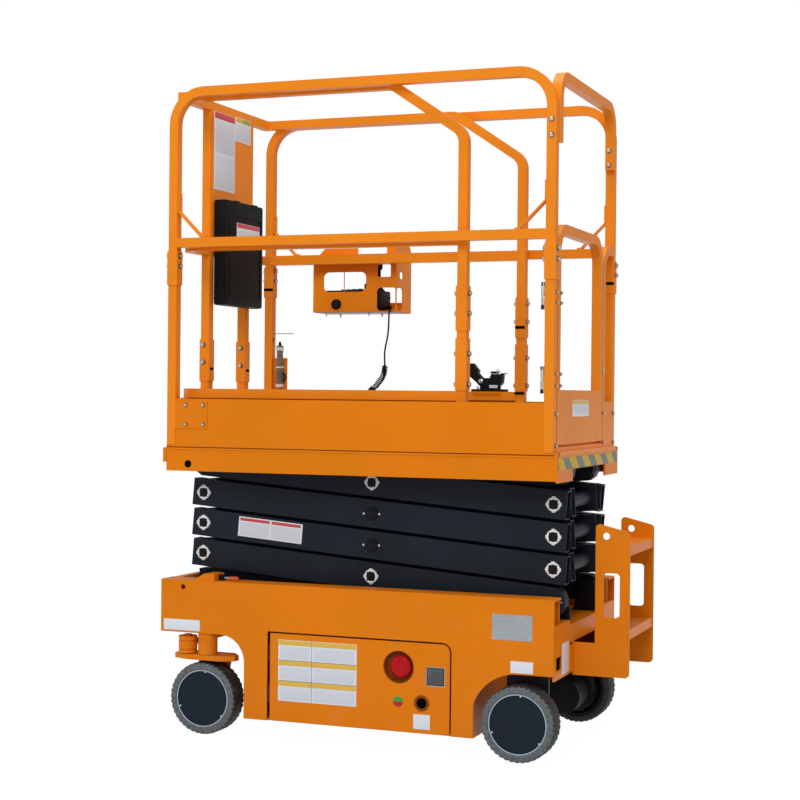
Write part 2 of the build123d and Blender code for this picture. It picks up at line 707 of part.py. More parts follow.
# ---------------------------------------------------------------- platform
bracket_y = 113.0
deck_edge_y = platform_y - toe_plate
track_inner_y = 146.0
track_outer_y = 182.0
rib_width = 40.0
rib_depth = 30.0
rib_start_y = 250.0
frame_end = 171.0
roller_hole_x = 651.0
RIBS_X = (-420, -180, 60, 300, 540)
with BuildPart() as platform_frame:
    for _, side in SIDES:
        outer = (side * (platform_y - plate), side * platform_y)
        block((platform_rear_x, platform_front_x), outer, (platform_bottom_z, deck_z))
        block((platform_rear_x, platform_front_x), (side * (platform_y - rib_width), side * platform_y),
              (platform_bottom_z, platform_bottom_z + plate))
        with BuildSketch(side_plane(side * bracket_y)) as hanger:
            with BuildLine():
                Polyline((pivot_rear_x - 42, deck_z), (pivot_rear_x - 32, top_pivot_z - 18),
                         (pivot_rear_x - 16, top_pivot_z - 35), (pivot_rear_x + 16, top_pivot_z - 35),
                         (pivot_rear_x + 54, deck_z), close=True)
            make_face()
        extrude(amount=-side * bracket_plate)
        pin(pivot_rear_x, top_pivot_z, (side * bracket_y, side * (track_outer_y + 1)), pin_radius)
        block((track_start_x, platform_front_x - 15), (side * track_inner_y, side * track_outer_y),
              (top_pivot_z + roller_radius + track_gap, deck_z))
        for rib_x in RIBS_X:
            block((rib_x, rib_x + rib_width), (side * rib_start_y, side * (platform_y - plate)),
                  (deck_z - rib_depth, deck_z))
    for rib_x in RIBS_X:
        block((rib_x, rib_x + rib_width), (-110, 110), (deck_z - rib_depth, deck_z))
    across = (-platform_y, platform_y)
    block((platform_front_x - plate, platform_front_x), across, (platform_bottom_z, deck_top_z))
    block((platform_rear_x, platform_rear_x + plate), across, (deck_z - hazard_depth, deck_z))
    for _, side in SIDES:
        end_y = (side * (platform_y - frame_end), side * platform_y)
        block((platform_rear_x, platform_rear_x + plate), end_y,
              (platform_bottom_z - frame_tab, deck_z - hazard_depth))
        through = (side * (platform_y - plate - 1), side * (platform_y + 1))
        pin(roller_hole_x, top_pivot_z, through, 9, Mode.SUBTRACT)
save(platform_frame.part, "platform_frame")

sill_plate = 3.0
with BuildPart() as deck:
    deck_x = (platform_rear_x + sill_plate, platform_front_x - plate)
    block(deck_x, (-deck_edge_y, deck_edge_y), (deck_z, deck_top_z))
save(deck.part, "platform_deck")

post_front_x = front_post_x + tube
post_rear_x = rear_post_x + tube
brace_knee_z = mid_rail_z + tube + brace_run
bend_shift = brace_plate * math.tan(math.radians(22.5))
gate_hinge_x = -519.0
gate_hinge_half = 38.0
gate_hinge_length = 80.0
gate_hinge_radius = 8.0
gate_hinge_pin = 4.0
gate_leaf_end = 24.0
corner_plate_x = 585.0
toe_plate_rise = 2.5
hook_plate_x = 644.0
HOOK_PLATE_Y = (-360, -357)
HOOK_PLATE_Z = (deck_top_z + 165, deck_top_z + 294)
GATE_HINGES_Z = (deck_top_z + 175, deck_top_z + 425)
# Each row: the post's face the brace stands on, the way it leans
BRACES = ((post_rear_x, 1), (front_post_x, -1))
for side_name, side in SIDES:
    with BuildPart() as toe_board:
        board_y = (side * deck_edge_y, side * platform_y)
        block((platform_rear_x, platform_front_x - plate), board_y, (deck_z, deck_top_z))
        block((post_rear_x, front_post_x), board_y, (deck_top_z, toe_top_z))
        if side > 0:
            plate_y = (platform_y, platform_y + toe_plate_rise)
            block((corner_plate_x, front_post_x), plate_y, (toe_top_z - 96, toe_top_z - 8))
    save(toe_board.part, f"toe_board_{side_name}")

    with BuildPart() as main_rail:
        y = side * rail_mid_y
        rear_x, front_x = rear_post_x + tube / 2, front_post_x + tube / 2
        top_z = rail_top_z - tube / 2
        tube_path([(rear_x, y, deck_top_z), (rear_x, y, top_z),
                   (front_x, y, top_z), (front_x, y, deck_top_z)], rail_bend - tube / 2)
        across = (side * rail_inner_y, side * rail_y)
        block((post_rear_x - 1, front_post_x + 1), across, (mid_rail_z, mid_rail_z + tube))
        for x in (rear_post_x, front_post_x):
            block((x - sleeve_wall, x + tube + sleeve_wall),
                  (side * (rail_inner_y - sleeve_wall), side * (rail_y + sleeve_wall)),
                  (sleeve_bottom_z, sleeve_bottom_z + sleeve_length))
        for face_x, lean in BRACES:
            low_z = mid_rail_z + tube - 1
            with BuildSketch(side_plane(side * (rail_mid_y - brace_width / 2))) as brace:
                with BuildLine():
                    Polyline((face_x - lean, brace_knee_z + brace_leg), (face_x - lean, brace_knee_z),
                             (face_x + lean * (brace_run - 1), low_z),
                             (face_x + lean * (brace_run + 14), low_z),
                             (face_x + lean * (brace_run + 14), mid_rail_z + tube + brace_plate),
                             (face_x + lean * (brace_run + bend_shift), mid_rail_z + tube + brace_plate),
                             (face_x + lean * brace_plate, brace_knee_z + bend_shift),
                             (face_x + lean * brace_plate, brace_knee_z + brace_leg), close=True)
                make_face()
            extrude(amount=-side * brace_width)
        if side > 0:
            for hinge_z in GATE_HINGES_Z:
                foot = (gate_hinge_x, rail_inner_y, hinge_z)
                block((post_rear_x - 1, gate_hinge_x), (rail_inner_y + 1, rail_inner_y + gate_leaf_end),
                      (hinge_z, hinge_z + gate_hinge_half))
                bar(foot, (gate_hinge_x, rail_inner_y, hinge_z + gate_hinge_half), gate_hinge_radius)
                bar(foot, (gate_hinge_x, rail_inner_y, hinge_z + gate_hinge_length), gate_hinge_pin)
        else:
            block((hook_plate_x, front_post_x + 1), HOOK_PLATE_Y, HOOK_PLATE_Z)
    save(main_rail.part, f"main_rail_{side_name}")

arch_x = post_rear_x - tube / 2 - 5
arch_z = rail_top_z - arch_drop - tube / 2
with BuildPart() as rear_arch:
    arch_y = rail_inner_y - tube / 2
    tube_path([(arch_x, arch_y, arch_z - arch_leg), (arch_x, arch_y, arch_z), (arch_x, -arch_y, arch_z),
               (arch_x, -arch_y, arch_z - arch_leg)], arch_bend)
save(rear_arch.part, "rear_arch")

infill_y = -226.0
gate_x = rear_post_x + tube / 2
infill_z = mid_rail_z + infill_rise - tube / 2
sill_height = 15.0
with BuildPart() as infill:
    tube_path([(gate_x, infill_y, deck_top_z), (gate_x, infill_y, infill_z),
               (gate_x, -rail_inner_y, infill_z)], arch_bend)
    block((gate_x - 15, gate_x - 12), (-rail_inner_y, infill_y - 14), (deck_top_z, lower_bar_z))
    block((gate_x - 15, gate_x + 15), (infill_y + 14, rail_inner_y), (deck_top_z, deck_top_z + sill_height))
    sill_y = (-rail_inner_y, rail_inner_y)
    block((platform_rear_x, rear_post_x + 1), sill_y, (deck_top_z, deck_top_z + sill_plate))
    block((platform_rear_x, platform_rear_x + sill_plate), sill_y, (deck_z, deck_top_z))
save(infill.part, "entry_infill")

gate_near_y = 334.0
gate_far_y = -205.0
gate_bottom_z = deck_top_z + gate_clearance
gate_top_z = mid_rail_z + gate_rise - tube / 2
with BuildPart() as gate:
    near, far = gate_near_y - tube / 2, gate_far_y + tube / 2
    tube_path([(gate_x, near, gate_bottom_z), (gate_x, near, gate_top_z), (gate_x, far, gate_top_z),
               (gate_x, far, gate_bottom_z)], gate_bend)
    block((gate_x - 15, gate_x + 15), (far, near), (gate_bottom_z, gate_bottom_z + 20))
    block((gate_x - 15, gate_x - 12), (far, near), (gate_bottom_z, gate_bottom_z + kick_height))
    for hinge_z in GATE_HINGES_Z:
        leaf_z = (hinge_z + gate_hinge_half + 2, hinge_z + gate_hinge_length)
        barrel = ((gate_hinge_x, rail_inner_y, leaf_z[0]), (gate_hinge_x, rail_inner_y, leaf_z[1]))
        block((gate_x + 14, gate_x + 22), (near, rail_inner_y - 3), leaf_z)
        bar(*barrel, gate_hinge_radius)
        bar(*barrel, gate_hinge_pin + running_gap, Mode.SUBTRACT)
save(gate.part, "entry_gate")

# ---------------------------------------------------------------- extension deck and its rails
extension_mid_y = extension_y - tube / 2
front_tube_x = extension_front_x - tube / 2
rear_tube_x = extension_rear_x + tube / 2
extension_top = extension_deck_z + plate
extension_tube_z = extension_top_z - tube / 2
extension_slope_x = -15.0
extension_knee_bend = 55.0
extension_bar_bend = 60.0
runner = 22.0
toe_half = 1.5
# Each row: where a sleeve on the rear posts starts and ends above the lower bar's foot
EXTENSION_SLEEVES = ((31, 191), (213, 350))
with BuildPart() as extension_deck:
    along = (extension_rear_x + plate, extension_front_x)
    block(along, (-extension_y, extension_y), (extension_deck_z, extension_top))
    tread_y = extension_mid_y - toe_half - 2
    block((extension_rear_x + tube + 2, extension_front_x - tube - 6), (-tread_y, tread_y),
          (extension_top, extension_top + tread_plate))
    for _, side in SIDES:
        block(along, (side * (extension_y - runner), side * extension_y),
              (deck_top_z + slide_gap, extension_deck_z))
save(extension_deck.part, "extension_deck")

for side_name, side in SIDES:
    with BuildPart() as extension_side:
        y = side * extension_mid_y
        tube_path([(rear_tube_x, y, extension_top), (rear_tube_x, y, extension_tube_z - extension_knee),
                   (extension_slope_x, y, extension_tube_z), (extension_front_x, y, extension_tube_z)],
                  extension_knee_bend)
        for start, end in EXTENSION_SLEEVES:
            block((extension_rear_x - sleeve_wall, extension_rear_x + tube + sleeve_wall),
                  (side * (extension_inner_y - sleeve_wall), side * (extension_y + sleeve_wall)),
                  (lower_bar_z + start, lower_bar_z + end))
    save(extension_side.part, f"extension_rail_{side_name}")

with BuildPart() as extension_front:
    for bar_z in (lower_bar_z + tube / 2, extension_mid_z):
        start_x = rear_tube_x + tube / 2
        tube_path([(start_x, extension_mid_y, bar_z), (front_tube_x, extension_mid_y, bar_z),
                   (front_tube_x, -extension_mid_y, bar_z), (start_x, -extension_mid_y, bar_z)],
                  extension_bar_bend)
    block((extension_front_x - tube, extension_front_x), (-extension_inner_y, extension_inner_y),
          (extension_top_z - tube, extension_top_z))
    for _, side in SIDES:
        block((extension_front_x - tube, extension_front_x),
              (side * extension_post_y, side * (extension_post_y + tube)),
              (extension_top, extension_top_z - tube + 1))
        block((extension_front_x - tube - sleeve_wall, extension_front_x + sleeve_wall),
              (side * (extension_post_y - sleeve_wall), side * (extension_post_y + tube + sleeve_wall)),
              (lower_bar_z + 55, lower_bar_z + 195))
save(extension_front.part, "extension_front")

with BuildPart() as extension_toe:
    for _, side in SIDES:
        block((rear_tube_x + tube / 2, extension_front_x - 12),
              (side * (extension_mid_y - toe_half), side * (extension_mid_y + toe_half)),
              (extension_top, lower_bar_z))
save(extension_toe.part, "extension_toe_boards")

panel_x = extension_front_x - tube - sleeve_wall
PANEL_Y = (-165, 145)
CASE_Y = (-149, 130)
with BuildPart() as front_panel:
    block((panel_x, panel_x + sleeve_wall), PANEL_Y, (extension_mid_z + 5, extension_top_z - tube + 4))
save(front_panel.part, "front_panel")

case_depth = 50.0
case_top_z = extension_mid_z + 175
case_height = 355.0
with BuildPart() as case:
    block((panel_x - case_depth, panel_x), CASE_Y, (case_top_z - case_height, case_top_z))
    fillet(case.edges().filter_by(Axis.X), 18)
save(case.part, "document_case")

lock_z = lower_bar_z + tube
# The lock's pedal and its latch in side view, from the pedal's tip round: place on X, height over the bar
LOCK_OUTLINE = ((-61, 96), (-83, 96), (-104, 71), (-101, 63), (-117, 46), (-144, 46), (-150, 60), (-191, 60),
                (-189, 31), (-182, 21), (-106, 20), (-99, 29), (-62, 60))
with BuildPart() as pedal:
    with BuildSketch(side_plane(-extension_inner_y - 2)) as side_view:
        with BuildLine():
            Polyline(*[(x, lock_z + rise) for x, rise in LOCK_OUTLINE], close=True)
        make_face()
    extrude(amount=26)
    block((-180, -108), (-extension_inner_y - 20, -extension_inner_y - 8), (lock_z, lock_z + 22))
    block((-203, -79), (-extension_y + 1, -extension_inner_y - 1), (lock_z, lock_z + 8))
    pin(-111, lock_z + 37, (-extension_y - 1, -extension_inner_y + 1), 8)
save(pedal.part, "deck_lock")

# ---------------------------------------------------------------- control box on the right rail
box_rear_x = 232.0
box_front_x = 552.0
box_inner_y = -376.0
box_outer_y = -526.0
box_bottom_z = mid_rail_z - 174
box_top_z = mid_rail_z + 54
sheet = 3.0
with BuildPart() as control_box:
    with BuildSketch(side_plane(box_inner_y)) as back_plate:
        with BuildLine():
            Polyline((box_rear_x, box_bottom_z), (box_front_x, box_bottom_z), (box_front_x, mid_rail_z + 6),
                     (529, mid_rail_z + 32), (508, box_top_z), (379, box_top_z), (379, mid_rail_z + 12),
                     (268, mid_rail_z + 12), (268, box_top_z), (box_rear_x, box_top_z + 6), close=True)
        make_face()
        with Locations((429, mid_rail_z - 66)):
            RectangleRounded(164, 70, 20, mode=Mode.SUBTRACT)
        with Locations((278, mid_rail_z - 28)):
            RectangleRounded(50, 44, 6, mode=Mode.SUBTRACT)
        with Locations((box_rear_x + 36, box_bottom_z + 45)):
            RectangleRounded(74, 82, 14, mode=Mode.SUBTRACT)
    extrude(amount=sheet)
    with BuildSketch(Plane.YZ.offset(box_rear_x)) as end_plate:
        with BuildLine():
            Polyline((box_inner_y, box_bottom_z), (box_inner_y, box_top_z + 6),
                     (box_outer_y + 15, box_top_z + 12), (box_outer_y, box_top_z - 10),
                     (box_outer_y, box_bottom_z), close=True)
        make_face()
        with Locations((box_inner_y - 52, mid_rail_z - 43)):
            RectangleRounded(32, 24, 8, mode=Mode.SUBTRACT)
        with Locations((box_inner_y - 36, box_bottom_z + 45)):
            RectangleRounded(58, 82, 14, mode=Mode.SUBTRACT)
    extrude(amount=sheet)
    block((box_rear_x, box_front_x), (box_outer_y, box_inner_y), (box_bottom_z, box_bottom_z + sheet))
    block((box_rear_x, box_front_x), (box_outer_y, box_outer_y + sheet), (box_bottom_z, box_bottom_z + 40))
    for spacer_x in (240, 400):
        block((spacer_x, spacer_x + 60), (box_inner_y - 1, -rail_y), (mid_rail_z + 2, mid_rail_z + 10))
save(control_box.part, "control_box")

controller_rear_x = 304.0
controller_front_x = 520.0
switch_x = 376.0
controller_y = (-510.0, -396.0)
controller_height = 77.0
stick_y = -446.0
with BuildPart() as controller:
    body_z = (box_bottom_z + sheet, box_bottom_z + sheet + controller_height)
    block((controller_rear_x, controller_front_x), controller_y, body_z)
    chamfer(controller.edges().filter_by(Axis.Y), 10)
    stick_x = controller_rear_x + 24
    bar((stick_x, stick_y, body_z[1] - 1), (stick_x, stick_y, body_z[1] + 76), 9)
    bar((stick_x, stick_y, body_z[1] + 76), (stick_x, stick_y, body_z[1] + 110), 15)
    bar((switch_x, stick_y, body_z[1] - 1), (switch_x, stick_y, body_z[1] + 26), 6)
save(controller.part, "hand_controller")

# ---------------------------------------------------------------- control cord
# The cord's centre line from the gland down to the coil, and from the coil to the socket.
# Each point: place on X, place on Y, height over the deck
CORD_POINTS = ((294, -418, 477), (262, -418, 477), (254, -384, 474), (253, -362, 457), (252, -360, 425),
               (255, -361, 375), (265, -360, 333), (268, -360.5, 301), (266, -360, 271))
COIL_POINTS = ((266, -360, 271), (264.4, -359.6, 247), (279, -358.6, 217), (306, -357, 187))
CORD_ROUTE = [(x, y, deck_top_z + rise) for x, y, rise in CORD_POINTS]
COIL_ROUTE = [(x, y, deck_top_z + rise) for x, y, rise in COIL_POINTS]
cord_radius = 3.0
coil_radius = 11.0

with BuildPart() as gland:
    bar((controller_rear_x, CORD_ROUTE[0][1], CORD_ROUTE[0][2]), CORD_ROUTE[0], 8)
save(gland.part, "cord_gland")


def cord_solid(route, radius):
    """Adds a round cord along straight runs joined by arcs as large as the runs allow."""
    points = [Vector(*p) for p in route]
    runs = [b - a for a, b in zip(points, points[1:])]
    radii = []
    for before, after in zip(runs, runs[1:]):
        turn = math.radians(before.get_angle(after))
        radii.append(0.45 * min(before.length, after.length) / math.tan(turn / 2))
    print("cord radii", [round(r) for r in radii])
    with BuildLine(mode=Mode.PRIVATE) as path:
        FilletPolyline(*points, radius=radii)
    with BuildSketch(Plane(origin=path.line @ 0, z_dir=path.line % 0), mode=Mode.PRIVATE) as section:
        Circle(radius)
    print("cord length", round(sum(edge.length for edge in path.edges()), 1))
    return sweep(sections=section.sketch, path=path.line)


with BuildPart() as cord:
    cord_solid(CORD_ROUTE, cord_radius)
save(cord.part, "control_cord")

with BuildPart() as coil:
    cord_solid(COIL_ROUTE, coil_radius)
save(coil.part, "control_cord_coil")

socket_length = 26.0
socket_x = (304.0, 348.0)
with BuildPart() as socket:
    end = Vector(*COIL_ROUTE[-1])
    heading = (end - Vector(*COIL_ROUTE[-2])).normalized()
    bar(tuple(end), tuple(end + heading * socket_length), 13)
    block(socket_x, (-deck_edge_y, -deck_edge_y + 24), (toe_top_z - 30, toe_top_z + 14))
save(socket.part, "cord_socket")

connector_x = 667.0
connector_y = -343.5
# Each row: where a stage of the plug pair starts and ends above the deck, its radius
CONNECTOR_STAGES = ((189, 199, 13.0), (199, 258, 11.5), (258, 268, 13.5), (268, 328, 11.5), (328, 338, 13.0))
with BuildPart() as connector:
    for start, end, radius in CONNECTOR_STAGES:
        foot = (connector_x, connector_y, deck_top_z + start)
        bar(foot, (connector_x, connector_y, deck_top_z + end), radius)
save(connector.part, "cable_connector")
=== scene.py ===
"""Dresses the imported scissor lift: finishes, fasteners, plates, treads, cord, studio and camera."""

import json
import logging
import math
from dataclasses import dataclass
from enum import Enum
from typing import Iterable, Optional, Sequence, Union

import bmesh
import bpy
from mathutils import Matrix, Vector


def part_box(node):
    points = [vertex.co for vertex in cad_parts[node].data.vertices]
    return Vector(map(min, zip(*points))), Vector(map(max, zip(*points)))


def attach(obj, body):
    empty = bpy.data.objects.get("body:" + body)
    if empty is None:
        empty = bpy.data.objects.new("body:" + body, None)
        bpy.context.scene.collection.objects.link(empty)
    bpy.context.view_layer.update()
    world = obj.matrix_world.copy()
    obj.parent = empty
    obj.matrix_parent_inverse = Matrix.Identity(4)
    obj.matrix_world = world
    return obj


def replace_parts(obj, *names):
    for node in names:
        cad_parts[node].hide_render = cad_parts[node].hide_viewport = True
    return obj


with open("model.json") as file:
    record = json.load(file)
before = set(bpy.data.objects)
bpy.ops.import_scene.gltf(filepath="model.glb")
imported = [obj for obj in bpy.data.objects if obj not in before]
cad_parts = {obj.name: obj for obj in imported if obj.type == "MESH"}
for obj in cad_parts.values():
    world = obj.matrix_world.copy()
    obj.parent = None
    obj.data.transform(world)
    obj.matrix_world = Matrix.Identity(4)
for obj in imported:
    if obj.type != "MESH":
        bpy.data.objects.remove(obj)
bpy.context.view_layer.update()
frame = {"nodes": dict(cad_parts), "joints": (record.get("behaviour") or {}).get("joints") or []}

logging.basicConfig(level=logging.INFO, format="%(levelname)s %(name)s: %(message)s")
log = logging.getLogger("scissor_lift")


class Side(Enum):
    """A side of the machine, with its sign on Y."""

    LEFT = 1
    RIGHT = -1

    @property
    def label(self) -> str:
        """The side as the names of pieces and bodies spell it."""
        return self.name.lower()


Point = Sequence[float]
Colour = tuple[float, float, float]
MM = 0.001
SKIN_Y = 0.372
ARM_RISE = 0.099
ARM_RUN = 1.19
GATE_HINGE = (-0.519, 0.3435)
THIN_BEVEL = 0.0002


def srgb(red: int, green: int, blue: int) -> Colour:
    """Turns a display colour into the linear values that shaders take.

    Args:
        red: Red from 0 to 255.
        green: Green from 0 to 255.
        blue: Blue from 0 to 255.

    Returns:
        The linear colour.
    """
    def linear(value: int) -> float:
        share = value / 255
        return share / 12.92 if share <= 0.04045 else ((share + 0.055) / 1.055) ** 2.4

    return linear(red), linear(green), linear(blue)


# ------------------------------------------------------------------ shader maths
class Wire:
    """One value in a material's node tree, with plain arithmetic on it."""

    def __init__(self, tree: bpy.types.NodeTree, socket: bpy.types.NodeSocket) -> None:
        self.tree = tree
        self.socket = socket

    def node(self, kind: str, inputs: dict, output: Union[int, str] = 0, **settings) -> "Wire":
        """Makes any other node fed by wires or plain values.

        Args:
            kind: The node's type name.
            inputs: Input name or number to wire or value.
            output: Which output the result wraps.
            **settings: Attributes set on the node.

        Returns:
            The chosen output.
        """
        made = self.tree.nodes.new(kind)
        for name, value in settings.items():
            setattr(made, name, value)
        for key, value in inputs.items():
            if isinstance(value, Wire):
                self.tree.links.new(value.socket, made.inputs[key])
            else:
                made.inputs[key].default_value = value
        return Wire(self.tree, made.outputs[output])

    def _math(self, operation: str, first, second=0.0) -> "Wire":
        return self.node("ShaderNodeMath", {0: first, 1: second}, operation=operation)

    def __add__(self, other): return self._math("ADD", self, other)
    def __radd__(self, other): return self._math("ADD", other, self)
    def __sub__(self, other): return self._math("SUBTRACT", self, other)
    def __rsub__(self, other): return self._math("SUBTRACT", other, self)
    def __mul__(self, other): return self._math("MULTIPLY", self, other)
    def __rmul__(self, other): return self._math("MULTIPLY", other, self)
    def __truediv__(self, other): return self._math("DIVIDE", self, other)
    def __rtruediv__(self, other): return self._math("DIVIDE", other, self)
    def __gt__(self, other): return self._math("GREATER_THAN", self, other)
    def __lt__(self, other): return self._math("LESS_THAN", self, other)

    def clamp(self) -> "Wire":
        """The value kept between 0 and 1."""
        return self.node("ShaderNodeClamp", {0: self})

    def fade(self, low: float, high: float) -> "Wire":
        """A smooth step from 0 at low to 1 at high."""
        return self.node("ShaderNodeMapRange", {0: self, 1: low, 2: high}, interpolation_type="SMOOTHSTEP")

    def blend(self, low: Union["Wire", Colour], high: Union["Wire", Colour]) -> "Wire":
        """A colour between low and high, chosen by this value."""
        ends = [c if isinstance(c, Wire) else (*c, 1.0) for c in (low, high)]
        return self.node("ShaderNodeMix", {0: self, 6: ends[0], 7: ends[1]}, output=2, data_type="RGBA")


class Shader:
    """A material being made: its principled shader, its coordinates and its noises."""

    def __init__(self, name: str) -> None:
        self.material = bpy.data.materials.new(name)
        self.material.use_nodes = True
        self.tree = self.material.node_tree
        self.bsdf = next(n for n in self.tree.nodes if n.type == "BSDF_PRINCIPLED")
        coordinates = self.tree.nodes.new("ShaderNodeTexCoord")
        self.place = Wire(self.tree, coordinates.outputs["Object"])

    def noise(self, scale: float, detail: float = 3.0, roughness: float = 0.55) -> Wire:
        """Cloudy noise from 0 to 1 in the piece's own coordinates."""
        return self.place.node(
            "ShaderNodeTexNoise", {"Vector": self.place, "Scale": scale, "Detail": detail,
                                   "Roughness": roughness},
        )

    def stretched(self, scale: Point, detail: float = 2.0) -> Wire:
        """Noise drawn out along some axes, for brushing and streaks."""
        placed = self.place.node("ShaderNodeMapping", {"Vector": self.place, "Scale": tuple(scale)})
        return placed.node("ShaderNodeTexNoise", {"Vector": placed, "Scale": 1.0, "Detail": detail})

    def height(self) -> Wire:
        """The height above the floor at rest, in metres."""
        return self.place.node("ShaderNodeSeparateXYZ", {0: self.place}, output=2)

    def axis(self, number: int) -> Wire:
        """One of the piece's own coordinates, in metres."""
        return self.place.node("ShaderNodeSeparateXYZ", {0: self.place}, output=number)

    def zone(self, low: Point, high: Point) -> Wire:
        """1 inside a box given on X, on the distance from the centre plane and on Z, else 0."""
        inside = None
        for number in range(3):
            value = self.axis(number)
            if number == 1:
                value = value.node("ShaderNodeMath", {0: value}, operation="ABSOLUTE")
            step = (value > low[number]) * (value < high[number])
            inside = step if inside is None else inside * step
        return inside

    def link(self, name: str, value: Union[Wire, float, Colour]) -> None:
        """Feeds one input of the principled shader."""
        if isinstance(value, Wire):
            self.tree.links.new(value.socket, self.bsdf.inputs[name])
        elif isinstance(value, tuple):
            self.bsdf.inputs[name].default_value = (*value, 1.0)
        else:
            self.bsdf.inputs[name].default_value = value

    def relief(self, height: Wire, distance: float, strength: float = 1.0, round_edges: float = 0.0) -> None:
        """Bump from a height, on top of edges rounded by a radius in metres."""
        inputs: dict = {"Height": height, "Distance": distance, "Strength": strength}
        if round_edges > 0:
            inputs["Normal"] = self.place.node("ShaderNodeBevel", {"Radius": round_edges}, samples=4)
        self.link("Normal", self.place.node("ShaderNodeBump", inputs))


# ------------------------------------------------------------------ finishes
@dataclass(frozen=True)
class Paint:
    """A sprayed coat over steel: gloss, orange peel, faint fading and dust low down.

    A second colour, where one is given, covers the zone between two corners.
    """

    name: str
    colour: Colour
    roughness: float = 0.32
    coat: float = 0.35
    peel: float = 0.00012
    fading: float = 0.025
    dust: float = 0.10
    edge: float = 0.0018
    dust_colour: Colour = srgb(178, 160, 138)
    second_colour: Optional[Colour] = None
    second_zone: tuple[Point, Point] = ((0, 0, 0), (0, 0, 0))

    def build(self) -> bpy.types.Material:
        """Makes the material."""
        s = Shader(self.name)
        patches = s.noise(3.2)
        darker = tuple(c * (1 - self.fading * 2.2) for c in self.colour)
        lighter = tuple(min(1.0, c * (1 + self.fading)) for c in self.colour)
        base = patches.fade(0.3, 0.7).blend(darker, lighter)
        if self.second_colour is not None:
            base = s.zone(*self.second_zone).blend(base, self.second_colour)
        settled = s.noise(11.0, 5.0).fade(0.45, 0.8) * self.dust
        low = 1.0 - s.height().fade(0.05, 0.55)
        dusty = (settled * (0.35 + low)).clamp()
        base = dusty.blend(base, self.dust_colour)
        s.link("Base Color", base)
        s.link("Roughness", self.roughness + s.noise(24.0, 4.0) * 0.10 + dusty * 0.4)
        s.link("Coat Weight", self.coat * 0.3)
        s.link("Coat Roughness", 0.10)
        s.link("Specular IOR Level", 0.10)
        s.relief(s.noise(420.0, 1.0), self.peel, 0.5, self.edge)
        return s.material


@dataclass(frozen=True)
class Metal:
    """Bare or plated metal, brushed or turned, with fine scratches."""

    name: str
    colour: Colour
    roughness: float = 0.28
    grain: Point = (900.0, 40.0, 900.0)
    edge: float = 0.0008

    def build(self) -> bpy.types.Material:
        """Makes the material."""
        s = Shader(self.name)
        brushed = s.stretched(self.grain)
        dark = tuple(c * 0.72 for c in self.colour)
        s.link("Base Color", brushed.fade(0.25, 0.75).blend(dark, self.colour))
        s.link("Metallic", 1.0)
        s.link("Roughness", self.roughness + brushed * 0.18)
        s.relief(brushed, 0.00006, 0.4, self.edge)
        return s.material


@dataclass(frozen=True)
class Moulded:
    """Moulded plastic or rubber with a fine grain and pale cloudy patches: slight bloom on plastic, a painted
    reflection on the display glass.
    """

    name: str
    colour: Colour
    roughness: float = 0.5
    grain_scale: float = 700.0
    grain_depth: float = 0.00012
    bloom: float = 0.05
    bloom_colour: Colour = srgb(120, 118, 114)
    edge: float = 0.0012
    shine: float = 0.16

    def build(self) -> bpy.types.Material:
        """Makes the material."""
        s = Shader(self.name)
        bloom_and_reflection_patches = s.noise(7.0, 5.0).fade(0.4, 0.8) * self.bloom
        s.link("Base Color", bloom_and_reflection_patches.blend(self.colour, self.bloom_colour))
        s.link("Specular IOR Level", self.shine)
        s.link("Roughness", self.roughness + s.noise(30.0) * 0.15)
        s.relief(s.noise(self.grain_scale, 2.0), self.grain_depth, 0.6, self.edge)
        return s.material


@dataclass(frozen=True)
class Tyre:
    """Solid non-marking rubber: dark on the tread, paler on the walls, with faint mould grain."""

    name: str
    colour: Colour = srgb(36, 38, 41)
    wall_colour: Colour = srgb(104, 110, 113)
    dust_colour: Colour = srgb(112, 114, 114)
    wall_start: float = 0.3742

    def build(self) -> bpy.types.Material:
        """Makes the material."""
        s = Shader(self.name)
        grime = s.noise(26.0, 6.0).fade(0.42, 0.72)
        deep = tuple(c * 0.7 for c in self.colour)
        base = s.noise(70.0, 4.0).fade(0.3, 0.7).blend(deep, self.colour)
        outward = s.axis(1).node("ShaderNodeMath", {0: s.axis(1)}, operation="ABSOLUTE")
        mottle = s.noise(95.0, 5.0).fade(0.30, 0.62)
        wall = outward.fade(self.wall_start, self.wall_start + 0.003) * (0.45 + mottle * 0.55)
        base = wall.clamp().blend(base, self.wall_colour)
        s.link("Base Color", (grime * 0.22).blend(base, self.dust_colour))
        s.link("Roughness", 0.72 + grime * 0.2)
        s.relief(s.noise(240.0, 4.0), 0.0004, 0.8, 0.0015)
        return s.material


@dataclass(frozen=True)
class TreadPlate:
    """Pressed anti-slip deck plate with crossed raised bars."""

    name: str
    colour: Colour = srgb(150, 152, 154)
    pitch: float = 0.03

    def build(self) -> bpy.types.Material:
        """Makes the material."""
        s = Shader(self.name)
        turned = s.place.node("ShaderNodeMapping", {"Vector": s.place, "Rotation": (0, 0, math.pi / 4)})
        across = turned.node("ShaderNodeSeparateXYZ", {0: turned}, output=0)
        along = turned.node("ShaderNodeSeparateXYZ", {0: turned}, output=1)
        step = math.tau / self.pitch

        def ridge(value: Wire, narrow: Wire) -> Wire:
            """Short bars along one direction."""
            bar = value.node("ShaderNodeMath", {0: value * step}, operation="COSINE")
            length = narrow.node("ShaderNodeMath", {0: narrow * (step / 2)}, operation="COSINE")
            return bar.fade(0.72, 0.95) * (length * length).fade(0.45, 0.8)

        offset = along + self.pitch / 2
        raised = ridge(across, along) + ridge(offset, across + self.pitch)
        worn = s.noise(9.0, 4.0)
        base = worn.fade(0.3, 0.7).blend(tuple(c * 0.55 for c in self.colour), self.colour)
        s.link("Base Color", (raised.clamp() * 0.35).blend(base, srgb(205, 205, 205)))
        s.link("Metallic", 0.85)
        s.link("Roughness", 0.42 + worn * 0.2)
        s.relief(raised, 0.0012, 1.0)
        return s.material


